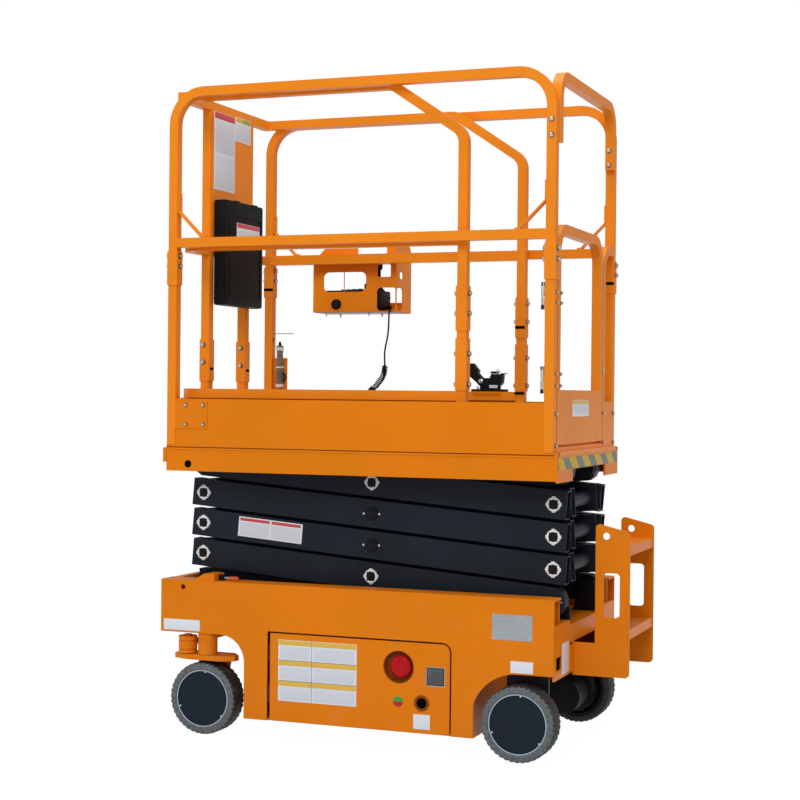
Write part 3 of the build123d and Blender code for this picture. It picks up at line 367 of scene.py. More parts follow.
@dataclass(frozen=True)
class Sticker:
    """A blank film of one colour, faintly stained."""

    name: str
    ground: Colour = srgb(226, 233, 241)
    roughness: float = 0.35

    def build(self) -> bpy.types.Material:
        """Makes the material."""
        s = Shader(self.name)
        stain = s.noise(18.0, 4.0).fade(0.45, 0.85) * 0.10
        s.link("Base Color", stain.blend(self.ground, srgb(180, 178, 172)))
        s.link("Roughness", self.roughness + s.noise(40.0) * 0.12)
        s.link("Coat Weight", 0.25)
        s.relief(s.noise(60.0, 2.0), 0.0001, 0.5)
        return s.material


class Palette:
    """Every finish, made once and handed out by name."""

    def __init__(self) -> None:
        body_orange = srgb(232, 128, 6)
        finishes = (
            Paint("rail_orange", srgb(244, 140, 26), roughness=0.32, coat=0.2, dust=0.02),
            Paint("chassis_orange", body_orange, roughness=0.36, coat=0.15, dust=0.06),
            Paint("frame_orange", body_orange, roughness=0.36, coat=0.15, dust=0.0,
                  second_colour=srgb(38, 40, 44),
                  second_zone=((-0.566, 0.10, 0.80), (0.7275, 0.184, 0.9139))),
            Paint("rear_orange", body_orange, roughness=0.36, coat=0.15, dust=0.06,
                  second_colour=srgb(44, 46, 48), second_zone=((-0.56, 0.24, 0.0), (-0.30, 0.29, 0.2605))),
            Paint("arm_slate", srgb(31, 37, 46), roughness=0.40, coat=0.08, fading=0.08, dust=0.06,
                  dust_colour=srgb(90, 94, 98), peel=0.0002),
            Paint("hub_blue", srgb(28, 37, 48), roughness=0.45, coat=0.05, dust=0.05,
                  dust_colour=srgb(76, 80, 84)),
            Paint("black_steel", srgb(23, 24, 26), roughness=0.4, coat=0.1, dust=0.08,
                  dust_colour=srgb(80, 78, 76)),
            Paint("hazard_yellow", srgb(214, 176, 44), roughness=0.4, coat=0.2, dust=0.2),
            Paint("rim_grey", srgb(172, 190, 202), roughness=0.4, coat=0.1, dust=0.05),
            # Painted shade: a darkened copy of the body orange for the recessed stop cup and the ring round
            # the charge inlet
            Paint("shade_orange", srgb(142, 72, 10), roughness=0.5, coat=0.1, dust=0.0),
            Moulded("stop_red", srgb(186, 14, 22), roughness=0.14, grain_depth=0.00002, bloom=0.0,
                    shine=0.14),
            Paint("lamp_face", srgb(196, 44, 40), roughness=0.35, coat=0.2, dust=0.0,
                  second_colour=srgb(60, 160, 84), second_zone=((-1, 0, 0.1555), (1, 1, 0.2))),
            Moulded("case_plastic", srgb(21, 20, 21), roughness=0.42, bloom=0.01, shine=0.08),
            # Painted shade: dark red for the inside of the front lashing hole
            Moulded("hole_red", srgb(72, 18, 8), roughness=0.6, bloom=0.0, shine=0.05),
            Moulded("plug_red", srgb(214, 92, 48), roughness=0.4, bloom=0.0),
            # Painted shade: black for the dark insides of slots, holes and sockets
            Moulded("void_black", srgb(5, 5, 5), roughness=0.7, bloom=0.0, shine=0.02),
            # Painted shadow: a darkened body orange for the seam above each frame lip
            Paint("seam_shade", srgb(128, 66, 8), roughness=0.6, coat=0.0, dust=0.0),
            Moulded("white_plastic", srgb(222, 224, 222), roughness=0.45),
            # Painted reflection: pale grey for the white floor mirrored on the underside of the control box's
            # tray
            Paint("tray_grey", srgb(176, 170, 180), roughness=0.35, coat=0.2, dust=0.0),
            # Darker steel for the washers under bolt heads; the darkness is painted shadow round each head
            Metal("washer_steel", srgb(88, 84, 78), roughness=0.35),
            # Door paint; its second colour is painted shade, a dark strip over the gap along the door's hinge
            # edge
            Paint("door_paint", body_orange, roughness=0.36, coat=0.15, dust=0.06,
                  second_colour=srgb(66, 34, 8), second_zone=((0.3551, 0.360, 0.09), (0.3649, 0.3730, 0.34))),
            Metal("zinc", srgb(214, 212, 206), roughness=0.22),
            Metal("chrome", srgb(226, 228, 230), roughness=0.08),
            Metal("name_plate_metal", srgb(178, 184, 188), roughness=0.40, grain=(30.0, 900.0, 1400.0)),
            Moulded("ring_white", srgb(240, 241, 240), roughness=0.4),
            Moulded("black_plastic", srgb(18, 18, 19), roughness=0.45),
            Moulded("black_rubber", srgb(15, 15, 16), roughness=0.6, bloom=0.03),
            Moulded("grey_plastic", srgb(118, 114, 110), roughness=0.45),
            Moulded("red_plastic", srgb(196, 26, 22), roughness=0.25, grain_depth=0.00003, bloom=0.02),
            # The screen's pale cloudy patches are a painted reflection on the glass
            Moulded("screen_grey", srgb(64, 66, 68), roughness=0.12, grain_depth=0.00001, bloom=0.7,
                    bloom_colour=srgb(150, 152, 152), shine=0.5),
            Tyre("tyre_rubber"),
            TreadPlate("deck_tread"),
            Sticker("film_white"),
            Sticker("film_yellow", ground=srgb(226, 182, 56)),
            Sticker("film_red", ground=srgb(206, 52, 56)),
            Sticker("film_green", ground=srgb(150, 168, 52)),
            Sticker("film_grey", ground=srgb(211, 218, 227)),
            Sticker("film_black", ground=srgb(34, 34, 36)),
        )
        self._made = {finish.name: finish.build() for finish in finishes}
        log.info("made %d finishes", len(self._made))

    def __getitem__(self, name: str) -> bpy.types.Material:
        return self._made[name]


PALETTE = Palette()

# Finish of each CAD node that keeps its own mesh, by the start of its name
NODE_FINISH = {
    "chassis_side": "door_paint", "chassis_tray": "chassis_orange", "chassis_front_box": "chassis_orange",
    "chassis_rear_box": "rear_orange", "battery_pack": "black_plastic", "drive_unit": "black_steel",
    "ladder": "chassis_orange", "scissor_base": "black_steel", "arm_": "arm_slate",
    "cylinder_barrel": "black_steel",
    "cylinder_rod": "chrome", "platform_frame": "frame_orange", "platform_deck": "deck_tread",
    "toe_board": "chassis_orange", "main_rail": "rail_orange", "rear_arch": "rail_orange",
    "entry_": "rail_orange", "control_box": "rail_orange", "hand_controller": "black_plastic",
    "cord_": "black_rubber", "control_cord": "black_rubber", "cable_connector": "grey_plastic",
    "extension_deck": "deck_tread", "extension_rail": "rail_orange", "extension_front": "rail_orange",
    "extension_toe": "chassis_orange", "front_panel": "rail_orange", "document_case": "black_plastic",
    "deck_lock": "black_steel", "door_": "door_paint", "stop_button": "red_plastic",
    "ground_display": "black_plastic", "charge_inlet": "chassis_orange", "knuckle": "chassis_orange",
    "tie_rod": "chassis_orange", "tyre": "tyre_rubber", "hub": "hub_blue",
}


# ------------------------------------------------------------------ mesh making
class Piece:
    """A mesh being gathered from simple bevelled forms, then placed on a body."""

    def __init__(self, name: str, body: str, finish: str) -> None:
        self.name = name
        self.body = body
        self.finish = finish
        self.mesh = bmesh.new()
        self.washers: Optional["Piece"] = None

    def _take(self, part: bmesh.types.BMesh, place: Matrix) -> None:
        part.transform(place)
        scratch = bpy.data.meshes.new("scratch")
        part.to_mesh(scratch)
        part.free()
        self.mesh.from_mesh(scratch)
        bpy.data.meshes.remove(scratch)

    def block(self, centre: Point, size: Point, bevel: float = 0.0015,
              turn: Optional[Matrix] = None) -> "Piece":
        """Adds a box with rounded edges.

        Args:
            centre: Its middle, in metres.
            size: Its full sizes along its own axes.
            bevel: Radius of its edges.
            turn: A rotation about its middle.

        Returns:
            This piece, so that calls can follow on.
        """
        part = bmesh.new()
        bmesh.ops.create_cube(part, size=1.0)
        bmesh.ops.scale(part, vec=Vector(size), verts=part.verts)
        width = min(bevel, 0.45 * min(size))
        if width > 0:
            bmesh.ops.bevel(part, geom=part.edges[:], offset=width, segments=2, profile=0.7, affect="EDGES")
        self._take(part, Matrix.Translation(Vector(centre)) @ (turn.to_4x4() if turn else Matrix.Identity(4)))
        return self

    def lathe(self, centre: Point, axis: Point, profile: Iterable[tuple[float, float]],
              sides: int = 32) -> "Piece":
        """Adds a form turned about an axis.

        Args:
            centre: Where its axis starts, in metres.
            axis: The direction of its axis.
            profile: Radius and distance along the axis, from first to last.
            sides: Number of facets round it.

        Returns:
            This piece.
        """
        part = bmesh.new()
        rings = []
        for radius, along in profile:
            if radius < 1e-6:
                rings.append([part.verts.new((0, 0, along))])
                continue
            rings.append([
                part.verts.new((radius * math.cos(math.tau * i / sides),
                                radius * math.sin(math.tau * i / sides), along))
                for i in range(sides)
            ])
        for low, high in zip(rings, rings[1:]):
            for i in range(sides):
                j = (i + 1) % sides
                if len(low) == 1 and len(high) == 1:
                    continue
                if len(low) == 1:
                    part.faces.new((low[0], high[j], high[i]))
                elif len(high) == 1:
                    part.faces.new((low[i], low[j], high[0]))
                else:
                    part.faces.new((low[i], low[j], high[j], high[i]))
        bmesh.ops.recalc_face_normals(part, faces=part.faces)
        turn = Vector((0, 0, 1)).rotation_difference(Vector(axis)).to_matrix().to_4x4()
        self._take(part, Matrix.Translation(Vector(centre)) @ turn)
        return self

    def bolt(self, centre: Point, axis: Point, size: float = 0.010, rise: float = 0.95) -> "Piece":
        """Adds a washer, darkened as painted shadow round the head, and a domed hexagon head standing on a
        face.

        Args:
            centre: The spot on the face.
            axis: The way out of the face.
            size: The washer's radius.
            rise: The head's height as a share of that radius.

        Returns:
            The piece itself, so that calls can be chained.
        """
        # The washers go in a darker piece: painted shadow round the heads
        if self.washers is None:
            self.washers = Piece(f"{self.name}_washers", self.body, "washer_steel")
        self.washers.lathe(centre, axis, ((0, 0), (size, 0), (size, 0.0014), (0, 0.0014)), 20)
        top = 0.0014 + size * rise
        self.lathe(centre, axis, ((0, 0.001), (size * 0.84, 0.001), (size * 0.84, top - 0.0020),
                                  (size * 0.55, top), (0, top)), 6)
        return self

    def done(self, smooth: float = 35.0) -> bpy.types.Object:
        """Turns what was gathered into an object riding on its body."""
        mesh = bpy.data.meshes.new(self.name)
        self.mesh.to_mesh(mesh)
        self.mesh.free()
        made = bpy.data.objects.new(self.name, mesh)
        bpy.context.scene.collection.objects.link(made)
        mesh.materials.append(PALETTE[self.finish])
        mesh.shade_smooth()
        mesh.set_sharp_from_angle(angle=math.radians(smooth))
        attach(made, self.body)
        log.info("%s: %d faces", self.name, len(mesh.polygons))
        if self.washers is not None:
            self.washers.done(smooth)
        return made


def corners(node: str) -> tuple[Vector, Vector]:
    """The lowest and highest corners of a CAD node at rest."""
    low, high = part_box(node)
    return Vector(low), Vector(high)


def joint_place(name: str) -> Point:
    """Where a joint lies at rest, in metres."""
    return next(j for j in frame["joints"] if j["name"] == name)["pos_m"]


# ------------------------------------------------------------------ sub-assemblies
@dataclass
class CadFinishes:
    """Gives every CAD node that still shows its finish."""

    def build(self) -> None:
        """Assigns the finishes by the start of each node's name."""
        for name, node in frame["nodes"].items():
            finish = next((f for start, f in NODE_FINISH.items() if name.startswith(start)), "chassis_orange")
            node.data.materials.clear()
            node.data.materials.append(PALETTE[finish])
            log.info("finish %s on %s", finish, name)


@dataclass
class TreadedTyres:
    """Solid tyres with chunky blocks across the shoulders, each replacing its CAD ring."""

    lugs: int = 40
    steps_per_lug: int = 6
    groove: float = 0.0024

    def profile(self, outer: float, inner: float, half: float) -> list[tuple[float, float, float]]:
        """Points across the tyre: radius, offset from the middle, and how deeply a groove cuts there."""
        return [
            (inner, -half + 0.002, 0), (inner + 0.003, -half, 0), (outer - 0.011, -half, 0.1),
            (outer - 0.005, -half + 0.0015, 0.7), (outer - 0.0015, -half + 0.005, 1),
            (outer, -half + 0.011, 1),
            (outer, -half + 0.028, 0.9), (outer - 0.0002, -0.004, 0), (outer - 0.0002, 0.004, 0),
            (outer, half - 0.028, 0.9), (outer, half - 0.011, 1), (outer - 0.0015, half - 0.005, 1),
            (outer - 0.005, half - 0.0015, 0.7), (outer - 0.011, half, 0.1), (inner + 0.003, half, 0),
            (inner, half - 0.002, 0),
        ]

    def build_one(self, node: str, body: str) -> None:
        """Makes one tyre about its own axle."""
        low, high = corners(node)
        middle = (low + high) / 2
        outer, half = (high.x - low.x) / 2, (high.y - low.y) / 2
        inner = outer * 0.8
        shape = bmesh.new()
        turns = self.lugs * self.steps_per_lug
        rings = []
        for step in range(turns):
            angle = math.tau * step / turns
            ring = []
            for radius, across, depth in self.profile(outer, inner, half):
                shift = 0 if across < 0 else self.steps_per_lug // 2
                in_groove = (step + shift) % self.steps_per_lug in (0, 1)
                cut = self.groove * depth if in_groove else 0.0
                r = radius - cut
                y = across * (1 - 0.02 * (cut > 0) * (abs(across) > half * 0.9))
                ring.append(shape.verts.new((middle.x + r * math.cos(angle), middle.y + y,
                                             middle.z + r * math.sin(angle))))
            rings.append(ring)
        for first, second in zip(rings, rings[1:] + rings[:1]):
            for i, j in zip(range(len(first)), list(range(1, len(first))) + [0]):
                shape.faces.new((first[i], second[i], second[j], first[j]))
        bmesh.ops.recalc_face_normals(shape, faces=shape.faces)
        piece = Piece(f"{node}_tread", body, "tyre_rubber")
        piece.mesh.free()
        piece.mesh = shape
        made = piece.done(smooth=28.0)
        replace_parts(made, node)

    def build(self) -> None:
        """Makes all four."""
        for axle in ("front", "rear"):
            for side in Side:
                self.build_one(f"tyre_{axle}_{side.label}", f"wheel_{axle}_{side.label}")


@dataclass
class WheelCaps:
    """The pale rim edge round each dark cover and the clips that hold it."""

    rim_outer: float = 0.0915
    rim_inner: float = 0.0872
    clips: int = 3

    def build(self) -> None:
        """Dresses the four hubs."""
        for axle in ("front", "rear"):
            for where in Side:
                side = where.value
                body = f"wheel_{axle}_{where.label}"
                low, high = corners(f"hub_{axle}_{where.label}")
                x, z = (low.x + high.x) / 2, (low.z + high.z) / 2
                face = high.y if side > 0 else low.y
                rim = Piece(f"{body}_rim", body, "rim_grey")
                outer, inner = self.rim_outer, self.rim_inner
                rim.lathe((x, face, z), (0, side, 0), (
                    (inner, -0.0028), (inner, 0.0006), (inner + 0.0008, 0.0013), (outer - 0.001, 0.0013),
                    (outer, 0.0004), (outer, 0.0)), 96)
                rim.done()
                clips = Piece(f"{body}_clips", body, "ring_white")
                for i in range(self.clips):
                    angle = math.radians(96 + 122 * i)
                    spot = (x + 0.0845 * math.cos(angle), face - side * 0.003, z + 0.0845 * math.sin(angle))
                    clips.lathe(spot, (0, side, 0), ((0.0026, 0), (0.0024, 0.0016), (0, 0.0024)), 14)
                clips.done()


@dataclass
class ScissorDetails:
    """Retaining rings, pin bosses and a sticker on the arm stack."""

    ring_outer: float = 0.0222
    ring_inner: float = 0.0150

    def pin_end(self, name: str, body: str, x: float, z: float, face: float, side: int, ringed: bool) -> None:
        """One pin's end: a pale ring round a dark pin, or a dark boss with two bolts."""
        if ringed:
            ring = Piece(f"{name}_ring", body, "ring_white")
            ring.lathe((x, side * face, z), (0, side, 0), (
                (self.ring_inner, 0), (self.ring_inner, 0.0042), (self.ring_inner + 0.0012, 0.0055),
                (self.ring_outer - 0.0015, 0.0055), (self.ring_outer, 0.0040), (self.ring_outer, 0)), 36)
            for k in range(4):
                angle = math.radians(90 * k)
                ear = (x + 0.0222 * math.cos(angle), side * (face + 0.0020), z + 0.0222 * math.sin(angle))
                ring.block(ear, (0.0050, 0.0040, 0.0110), 0.0008, Matrix.Rotation(-angle, 3, "Y"))
            ring.done()
            notches = Piece(f"{name}_notches", body, "black_steel")
            for k in range(4):
                angle = math.radians(45 + 90 * k)
                turn = Matrix.Rotation(-angle, 3, "Y")
                spot = (x + 0.0160 * math.cos(angle), side * (face + 0.0040), z + 0.0160 * math.sin(angle))
                notches.block(spot, (0.0046, 0.0040, 0.0052), 0.0006, turn)
            notches.done()
            Piece(f"{name}_core", body, "black_steel").lathe((x, side * face, z), (0, side, 0), (
                (self.ring_inner - 0.0005, 0), (self.ring_inner - 0.0005, 0.0040), (0.011, 0.0048),
                (0, 0.0048)), 28).done()
            return
        Piece(f"{name}_boss", body, "black_steel").lathe((x, side * face, z), (0, side, 0), (
            (0.0205, 0), (0.0205, 0.004), (0.0185, 0.006), (0.0125, 0.006), (0.0115, 0.0085), (0, 0.0085)),
            32).done()
        bolts = Piece(f"{name}_boss_bolts", body, "zinc")
        for shift in (-0.0265, 0.0265):
            bolts.lathe((x + shift, side * face, z), (0, side, 0),
                        ((0.0042, 0), (0.0040, 0.003), (0, 0.004)), 6)
        bolts.done()

    def build(self) -> None:
        """Dresses both sides of the stack."""
        for level in range(1, 5):
            body = f"outer_{level}"
            _, high = corners(f"arm_outer_{level}")
            face = high.y - 0.004
            middle = joint_place(f"cross_{level}")
            run = middle[0] - joint_place("lift")[0]
            rise = ARM_RISE / 2
            # Each row: which end, its place along the machine, its height, whether a ring holds it
            ends = (
                ("rear", middle[0] - run, middle[2] - rise, level > 1),
                ("front", middle[0] + run, middle[2] + rise, True),
                ("centre", middle[0], middle[2], level in (1, 4)),
            )
            for side in Side:
                for end, x, z, ringed in ends:
                    if end == "front" and level == 4:
                        continue
                    self.pin_end(f"pin_{level}_{end}_{side.label}", body, x, z, face, side.value, ringed)
        self.sticker()

    def sticker(self) -> None:
        """The blank sticker on the second outer arm, with two red heads and its cells."""
        _, high = corners("arm_outer_2")
        turn = Matrix.Rotation(-math.atan2(ARM_RISE, ARM_RUN), 3, "Y")
        x = 0.4255
        centre = joint_place("cross_2")
        centre_line = centre[2] + (x - centre[0]) * ARM_RISE / ARM_RUN
        place = Vector((x, high.y - 0.0037, centre_line + 0.004))
        # Each row: name, finish, shift along and up from the middle, width, height, lift off the arm
        rows = (
            ("sheet", "film_white", 0.0, 0.0, 0.228, 0.064, 0.0),
            ("head_front", "film_red", 0.0565, 0.0235, 0.106, 0.0095, 0.0004),
            ("head_rear", "film_red", -0.0555, 0.0235, 0.104, 0.0095, 0.0004),
            ("cell_front", "film_grey", 0.0565, -0.0065, 0.104, 0.042, 0.0003),
            ("cell_rear", "film_grey", -0.0555, -0.0065, 0.102, 0.042, 0.0003),
        )
        for name, finish, along, up, width, height, lift in rows:
            shift = turn @ Vector((along, 0, up))
            spot = (place.x + shift.x, place.y + lift, place.z + shift.z)
            Piece(f"arm_sticker_{name}", "outer_2", finish).block(
                spot, (width, 0.0006, height), THIN_BEVEL, turn).done()


@dataclass
class Plates:
    """Blank plates and stickers on the chassis, doors and panel."""

    film: float = 0.0008

    def plate(self, name: str, body: str, finish: str, low: Point, high: Point) -> bpy.types.Object:
        """Adds one flat plate between two corners."""
        centre = [(a + b) / 2 for a, b in zip(low, high)]
        size = [max(abs(a - b), self.film) for a, b in zip(low, high)]
        return Piece(name, body, finish).block(centre, size, 0.0003).done()

    def on_side(self, name: str, body: str, finish: str, x: Point, z: Point, y: float,
                lift: float = 0.0) -> None:
        """Adds a plate on the left-hand side."""
        self.plate(name, body, finish, (x[0], y + lift, z[0]), (x[1], y + lift + self.film, z[1]))

    def on_rear(self, name: str, body: str, finish: str, y: Point, z: Point, x: float,
                lift: float = 0.0) -> None:
        """Adds a plate on a face that looks to the rear."""
        self.plate(name, body, finish, (x - lift - self.film, y[0], z[0]), (x - lift, y[1], z[1]))

    def build(self) -> None:
        """Adds every plate."""
        skin = SKIN_Y
        self.on_side("side_name_plate", "root", "name_plate_metal", (-0.502, -0.376), (0.364, 0.441), skin)
        rivets = Piece("side_name_plate_rivets", "root", "zinc")
        for x in (-0.496, -0.382):
            for z in (0.370, 0.435):
                rivets.lathe((x, skin + self.film, z), (0, 1, 0),
                             ((0.0032, 0), (0.0026, 0.001), (0, 0.0014)), 12)
        rivets.done()
        self.on_side("rear_side_label", "root", "film_white", (-0.505, -0.435), (0.268, 0.303), skin)
        self.on_side("front_side_label", "root", "film_white", (0.604, 0.734), (0.328, 0.363), skin)
        self.on_rear("rear_corner_label", "root", "film_white", (0.205, 0.283), (0.257, 0.350), -0.568)
        self.door_board(skin)
        self.panel_sheets()

    def door_board(self, skin: float) -> None:
        """The blank instruction board: two columns of three cells with coloured heads."""
        left, right, bottom, top, split = 0.060, 0.326, 0.128, 0.320, 0.2116
        self.on_side("door_board", "door_left", "film_white", (left, right), (bottom, top), skin)
        rows = 3
        height = (top - bottom) / rows
        heads = Piece("door_board_heads", "door_left", "film_yellow")
        cells = Piece("door_board_cells", "door_left", "film_grey")
        lines = Piece("door_board_lines", "door_left", "film_black")
        for row in range(rows):
            ceiling = top - height * row
            for start, end in ((left, split), (split, right)):
                middle, width = (start + end) / 2, end - start
                heads.block((middle, skin + 0.0011, ceiling - 0.0088), (width - 0.0030, 0.0006, 0.0150),
                            THIN_BEVEL)
                cells.block((middle, skin + 0.0010, ceiling - 0.040),
                            (width - 0.014, 0.0006, height - 0.026), THIN_BEVEL)
            if row < rows - 1:
                lines.block(((left + right) / 2, skin + 0.0011, ceiling - height),
                            (right - left - 0.002, 0.0005, 0.0012), THIN_BEVEL)
        lines.block((split, skin + 0.0011, (top + bottom) / 2), (0.0012, 0.0005, top - bottom - 0.002),
                    THIN_BEVEL)
        heads.done()
        cells.done()
        lines.done()
        self.on_side("door_socket_label", "door_left", "film_white", (-0.182, -0.128), (0.076, 0.121), skin)

    def panel_sheets(self) -> None:
        """The blank sheets on the front panel."""
        low, _ = corners("front_panel")
        x = low.x
        sheets = (
            ("panel_sheet_tall", "film_white", (-0.022, 0.132), (1.775, 2.036), 0.0),
            ("panel_sheet_wide", "film_white", (-0.143, -0.024), (1.957, 2.041), 0.0),
            ("panel_head_red", "film_red", (-0.018, 0.128), (2.014, 2.035), 0.0006),
            ("panel_head_green", "film_green", (-0.140, -0.083), (2.025, 2.040), 0.0006),
            ("panel_head_yellow", "film_yellow", (-0.082, -0.027), (2.025, 2.040), 0.0006),
            ("panel_cell_wide", "film_grey", (-0.138, -0.029), (1.963, 2.021), 0.0003),
            ("panel_cell_upper", "film_grey", (-0.014, 0.124), (1.902, 2.008), 0.0003),
            ("panel_cell_lower", "film_grey", (-0.014, 0.124), (1.783, 1.892), 0.0003),
        )
        for name, finish, y, z, lift in sheets:
            self.on_rear(name, "extension", finish, y, z, x, lift)


@dataclass
class PlatformDetails:
    """Bolts, slots, hazard stripes and hinges on the platform and its rails."""

    stripe_pitch: float = 0.150
    stripe_width: float = 0.070
    stripe_lean: float = 0.046
    stripe_start: float = -0.398

    def post_bolts(self) -> None:
        """Bolts along the machine through the posts' sleeves."""
        for where in Side:
            side_name, side = where.label, where.value
            piece = Piece(f"rail_bolts_{side_name}", "platform", "zinc")
            _, high = corners(f"main_rail_{side_name}")
            for x, way in ((-0.563, -1), (-0.527, 1), (high.x - 0.036, -1), (high.x, 1)):
                for z in (1.531, 1.498):
                    piece.bolt((x, side * 0.3585, z), (way, 0, 0), 0.0088)
            for z in (1.910, 1.863):
                piece.bolt((-0.545, side * 0.3735, z), (0, side, 0), 0.0088, 0.54)
            piece.done()
            rail = Piece(f"extension_bolts_{side_name}", "extension", "zinc")
            for x, way in ((-0.271, -1), (-0.235, 1)):
                for z in (1.403, 1.342, 1.219, 1.126):
                    rail.bolt((x, side * 0.308, z), (way, 0, 0), 0.0088)
            rail.done()
            arch = Piece(f"arch_bolts_{side_name}", "platform", "zinc")
            for z in (1.910, 1.863):
                arch.bolt((-0.548, side * 0.3135, z), (0, -side, 0), 0.0080)
            arch.done()

    def slots(self) -> None:
        """Black sheets of painted shade in the slots cut for the rails' locking pins."""
        # Each row: name, body, centre, size
        rows = (
            ("extension_slot", "extension", (-0.2520, -0.2897, 1.323), (0.035, 0.0006, 0.010)),
            ("extension_gap", "extension", (-0.2520, -0.2897, 1.100), (0.035, 0.0006, 0.008)),
            ("main_slot", "platform", (-0.545, -0.3402, 1.4705), (0.036, 0.0006, 0.010)),
            ("front_slot_left", "extension", (0.6933, 0.1350, 1.172), (0.0006, 0.024, 0.008)),
            ("front_slot_right", "extension", (0.6933, -0.1350, 1.170), (0.0006, 0.024, 0.008)),
            ("post_slot", "platform", (0.714, -0.3402, 1.4655), (0.036, 0.0006, 0.010)),
            ("corner_slot_left", "root", (-0.5612, 0.3150, 0.2950), (0.0006, 0.066, 0.046)),
            ("corner_slot_right", "root", (-0.5612, -0.3150, 0.2950), (0.0006, 0.066, 0.046)),
        )
        for name, body, centre, size in rows:
            Piece(name, body, "void_black").block(centre, size, THIN_BEVEL).done()

    def plate_bolts(self) -> None:
        """Bolts through the front posts, the corner plate and the rear panel."""
        posts = Piece("front_post_bolts", "extension", "zinc")
        for x, y, z in ((0.716, 0.153, 1.194), (0.716, 0.153, 1.252), (0.711, -0.117, 1.187),
                        (0.711, -0.117, 1.249)):
            posts.bolt((x, y, z), (0, 1, 0), 0.0084)
        posts.done()
        hook = Piece("cable_hook", "platform", "zinc")
        hook.bolt((0.699, -0.3585, 1.285), (-1, 0, 0), 0.0070)
        hook.lathe((0.699, -0.3585, 1.307), (-1, 0, 0), ((0, 0), (0.0018, 0), (0.0018, 0.078), (0, 0.079)),
                   12)
        hook.done()
        corner = Piece("corner_plate_bolts", "platform", "zinc")
        for x in (0.599, 0.662):
            for z in (0.990, 1.052):
                corner.bolt((x, 0.3735, z), (0, 1, 0), 0.0068, 0.70)
        corner.done()
        rear = Piece("rear_face_bolts", "platform", "zinc")
        for y, z in ((0.352, 1.040), (0.352, 0.944), (-0.217, 1.037), (-0.217, 0.942), (-0.353, 1.036),
                     (-0.353, 0.940)):
            rear.bolt((-0.560, y, z), (-1, 0, 0), 0.0064)
        rear.done()

    def hazard(self) -> None:
        """Dark slanted stripes on a yellow band across the rear plate."""
        low, _ = corners("platform_frame")
        face = low.x
        bottom, top, reach = 0.8725, 0.9085, 0.3695
        Piece("hazard_band", "platform", "hazard_yellow").block(
            (face + 0.0004, 0, (bottom + top) / 2), (0.0009, 2 * reach, top - bottom), THIN_BEVEL).done()
        stripes = bmesh.new()
        for k in range(6):
            start = self.stripe_start + self.stripe_pitch * k
            spots = ((start, bottom), (start + self.stripe_width, bottom),
                     (start + self.stripe_width + self.stripe_lean, top), (start + self.stripe_lean, top))
            held = [(max(-reach, min(reach, y)), z) for y, z in spots]
            if held[0][0] == held[1][0]:
                continue
            stripes.faces.new([stripes.verts.new((face - 0.0003, y, z)) for y, z in held])
        piece = Piece("hazard_stripes", "platform", "film_black")
        piece.mesh.free()
        piece.mesh = stripes
        piece.done()

    def gate(self) -> None:
        """The gate's blank label, latch and zinc hinges, whose lower halves stay on the rail."""
        x = -0.560
        plates = Plates()
        plates.on_rear("gate_label", "gate", "film_white", (-0.036, 0.162), (1.030, 1.081), x)
        plates.on_rear("gate_label_head", "gate", "film_yellow", (-0.034, 0.160), (1.067, 1.080), x, 0.0004)
        plates.on_rear("gate_label_cell", "gate", "film_grey", (-0.028, 0.154), (1.034, 1.062), x, 0.0003)
        Piece("gate_latch", "gate", "zinc").block(
            (x - 0.003, -0.209, 1.176), (0.006, 0.012, 0.014), 0.0015).done()
        for order, bottom in enumerate((1.100, 1.350)):
            for body, start, end in (("platform", bottom, bottom + 0.038),
                                     ("gate", bottom + 0.040, bottom + 0.080)):
                hinge = Piece(f"gate_hinge_{body}_{order}", body, "zinc")
                tall = end - start
                hinge.lathe((*GATE_HINGE, start), (0, 0, 1), (
                    (0, 0), (0.0080, 0), (0.0088, 0.0008), (0.0088, tall - 0.0008), (0.0080, tall),
                    (0, tall)), 28)
                if body == "platform":
                    hinge.block((-0.5225, 0.3560, start + tall / 2), (0.0090, 0.0245, tall + 0.001), 0.0010)
                hinge.done()
                outer_end = start + 0.005 if body == "platform" else end - 0.005
                nut = Piece(f"gate_hinge_nut_{body}_{order}", body, "black_steel")
                nut.lathe((*GATE_HINGE, outer_end - 0.0055), (0, 0, 1), (
                    (0, 0), (0.0098, 0), (0.0098, 0.011), (0, 0.011)), 6)
                if body == "platform":
                    nut.block((-0.5215, 0.3640, start + 0.006), (0.0085, 0.0095, 0.0125), 0.0010)
                nut.done()
            rows = ((1.123, 1.158), (1.370, 1.400))[order]
            moving = Piece(f"gate_hinge_bolts_{order}", "gate", "zinc")
            fixed = Piece(f"rail_hinge_bolts_{order}", "platform", "zinc")
            for z in rows:
                moving.bolt((x, 0.3050, z), (-1, 0, 0), 0.0056)
                fixed.bolt((x, 0.3550, z), (-1, 0, 0), 0.0056)
            moving.done()
            fixed.done()

    def frame_sides(self) -> None:
        """The folded lip under each toe board, a strip of painted shadow in the seam above it, and black
        disks of painted shade for the holes in the sides.
        """
        low, high = corners("platform_frame")
        for where in Side:
            name, side = where.label, where.value
            lip = Piece(f"frame_lip_{name}", "platform", "chassis_orange")
            length = high.x + 0.009 - low.x
            lip.block((low.x + length / 2, side * 0.3716, 0.9118), (length, 0.0028, 0.0060), 0.0008)
            lip.block((high.x + 0.0065, side * 0.3640, 0.8910), (0.0120, 0.0170, 0.0460), 0.0010)
            lip.done()
            # Painted shadow in the seam between the toe board and the lip
            Piece(f"toe_gap_{name}", "platform", "seam_shade").block(
                (low.x + length / 2, side * 0.3712, 0.9165), (length - 0.02, 0.0006, 0.0034),
                THIN_BEVEL).done()
            Piece(f"frame_socket_{name}", "platform", "void_black").lathe(
                (0.653, side * 0.3712, 0.863), (0, side, 0),
                ((0.0122, -0.0004), (0.0122, 0.0002), (0, 0.0002)), 28).done()

    def build(self) -> None:
        """Adds everything on the platform."""
        self.post_bolts()
        self.slots()
        self.plate_bolts()
        self.hazard()
        self.gate()
        self.frame_sides()


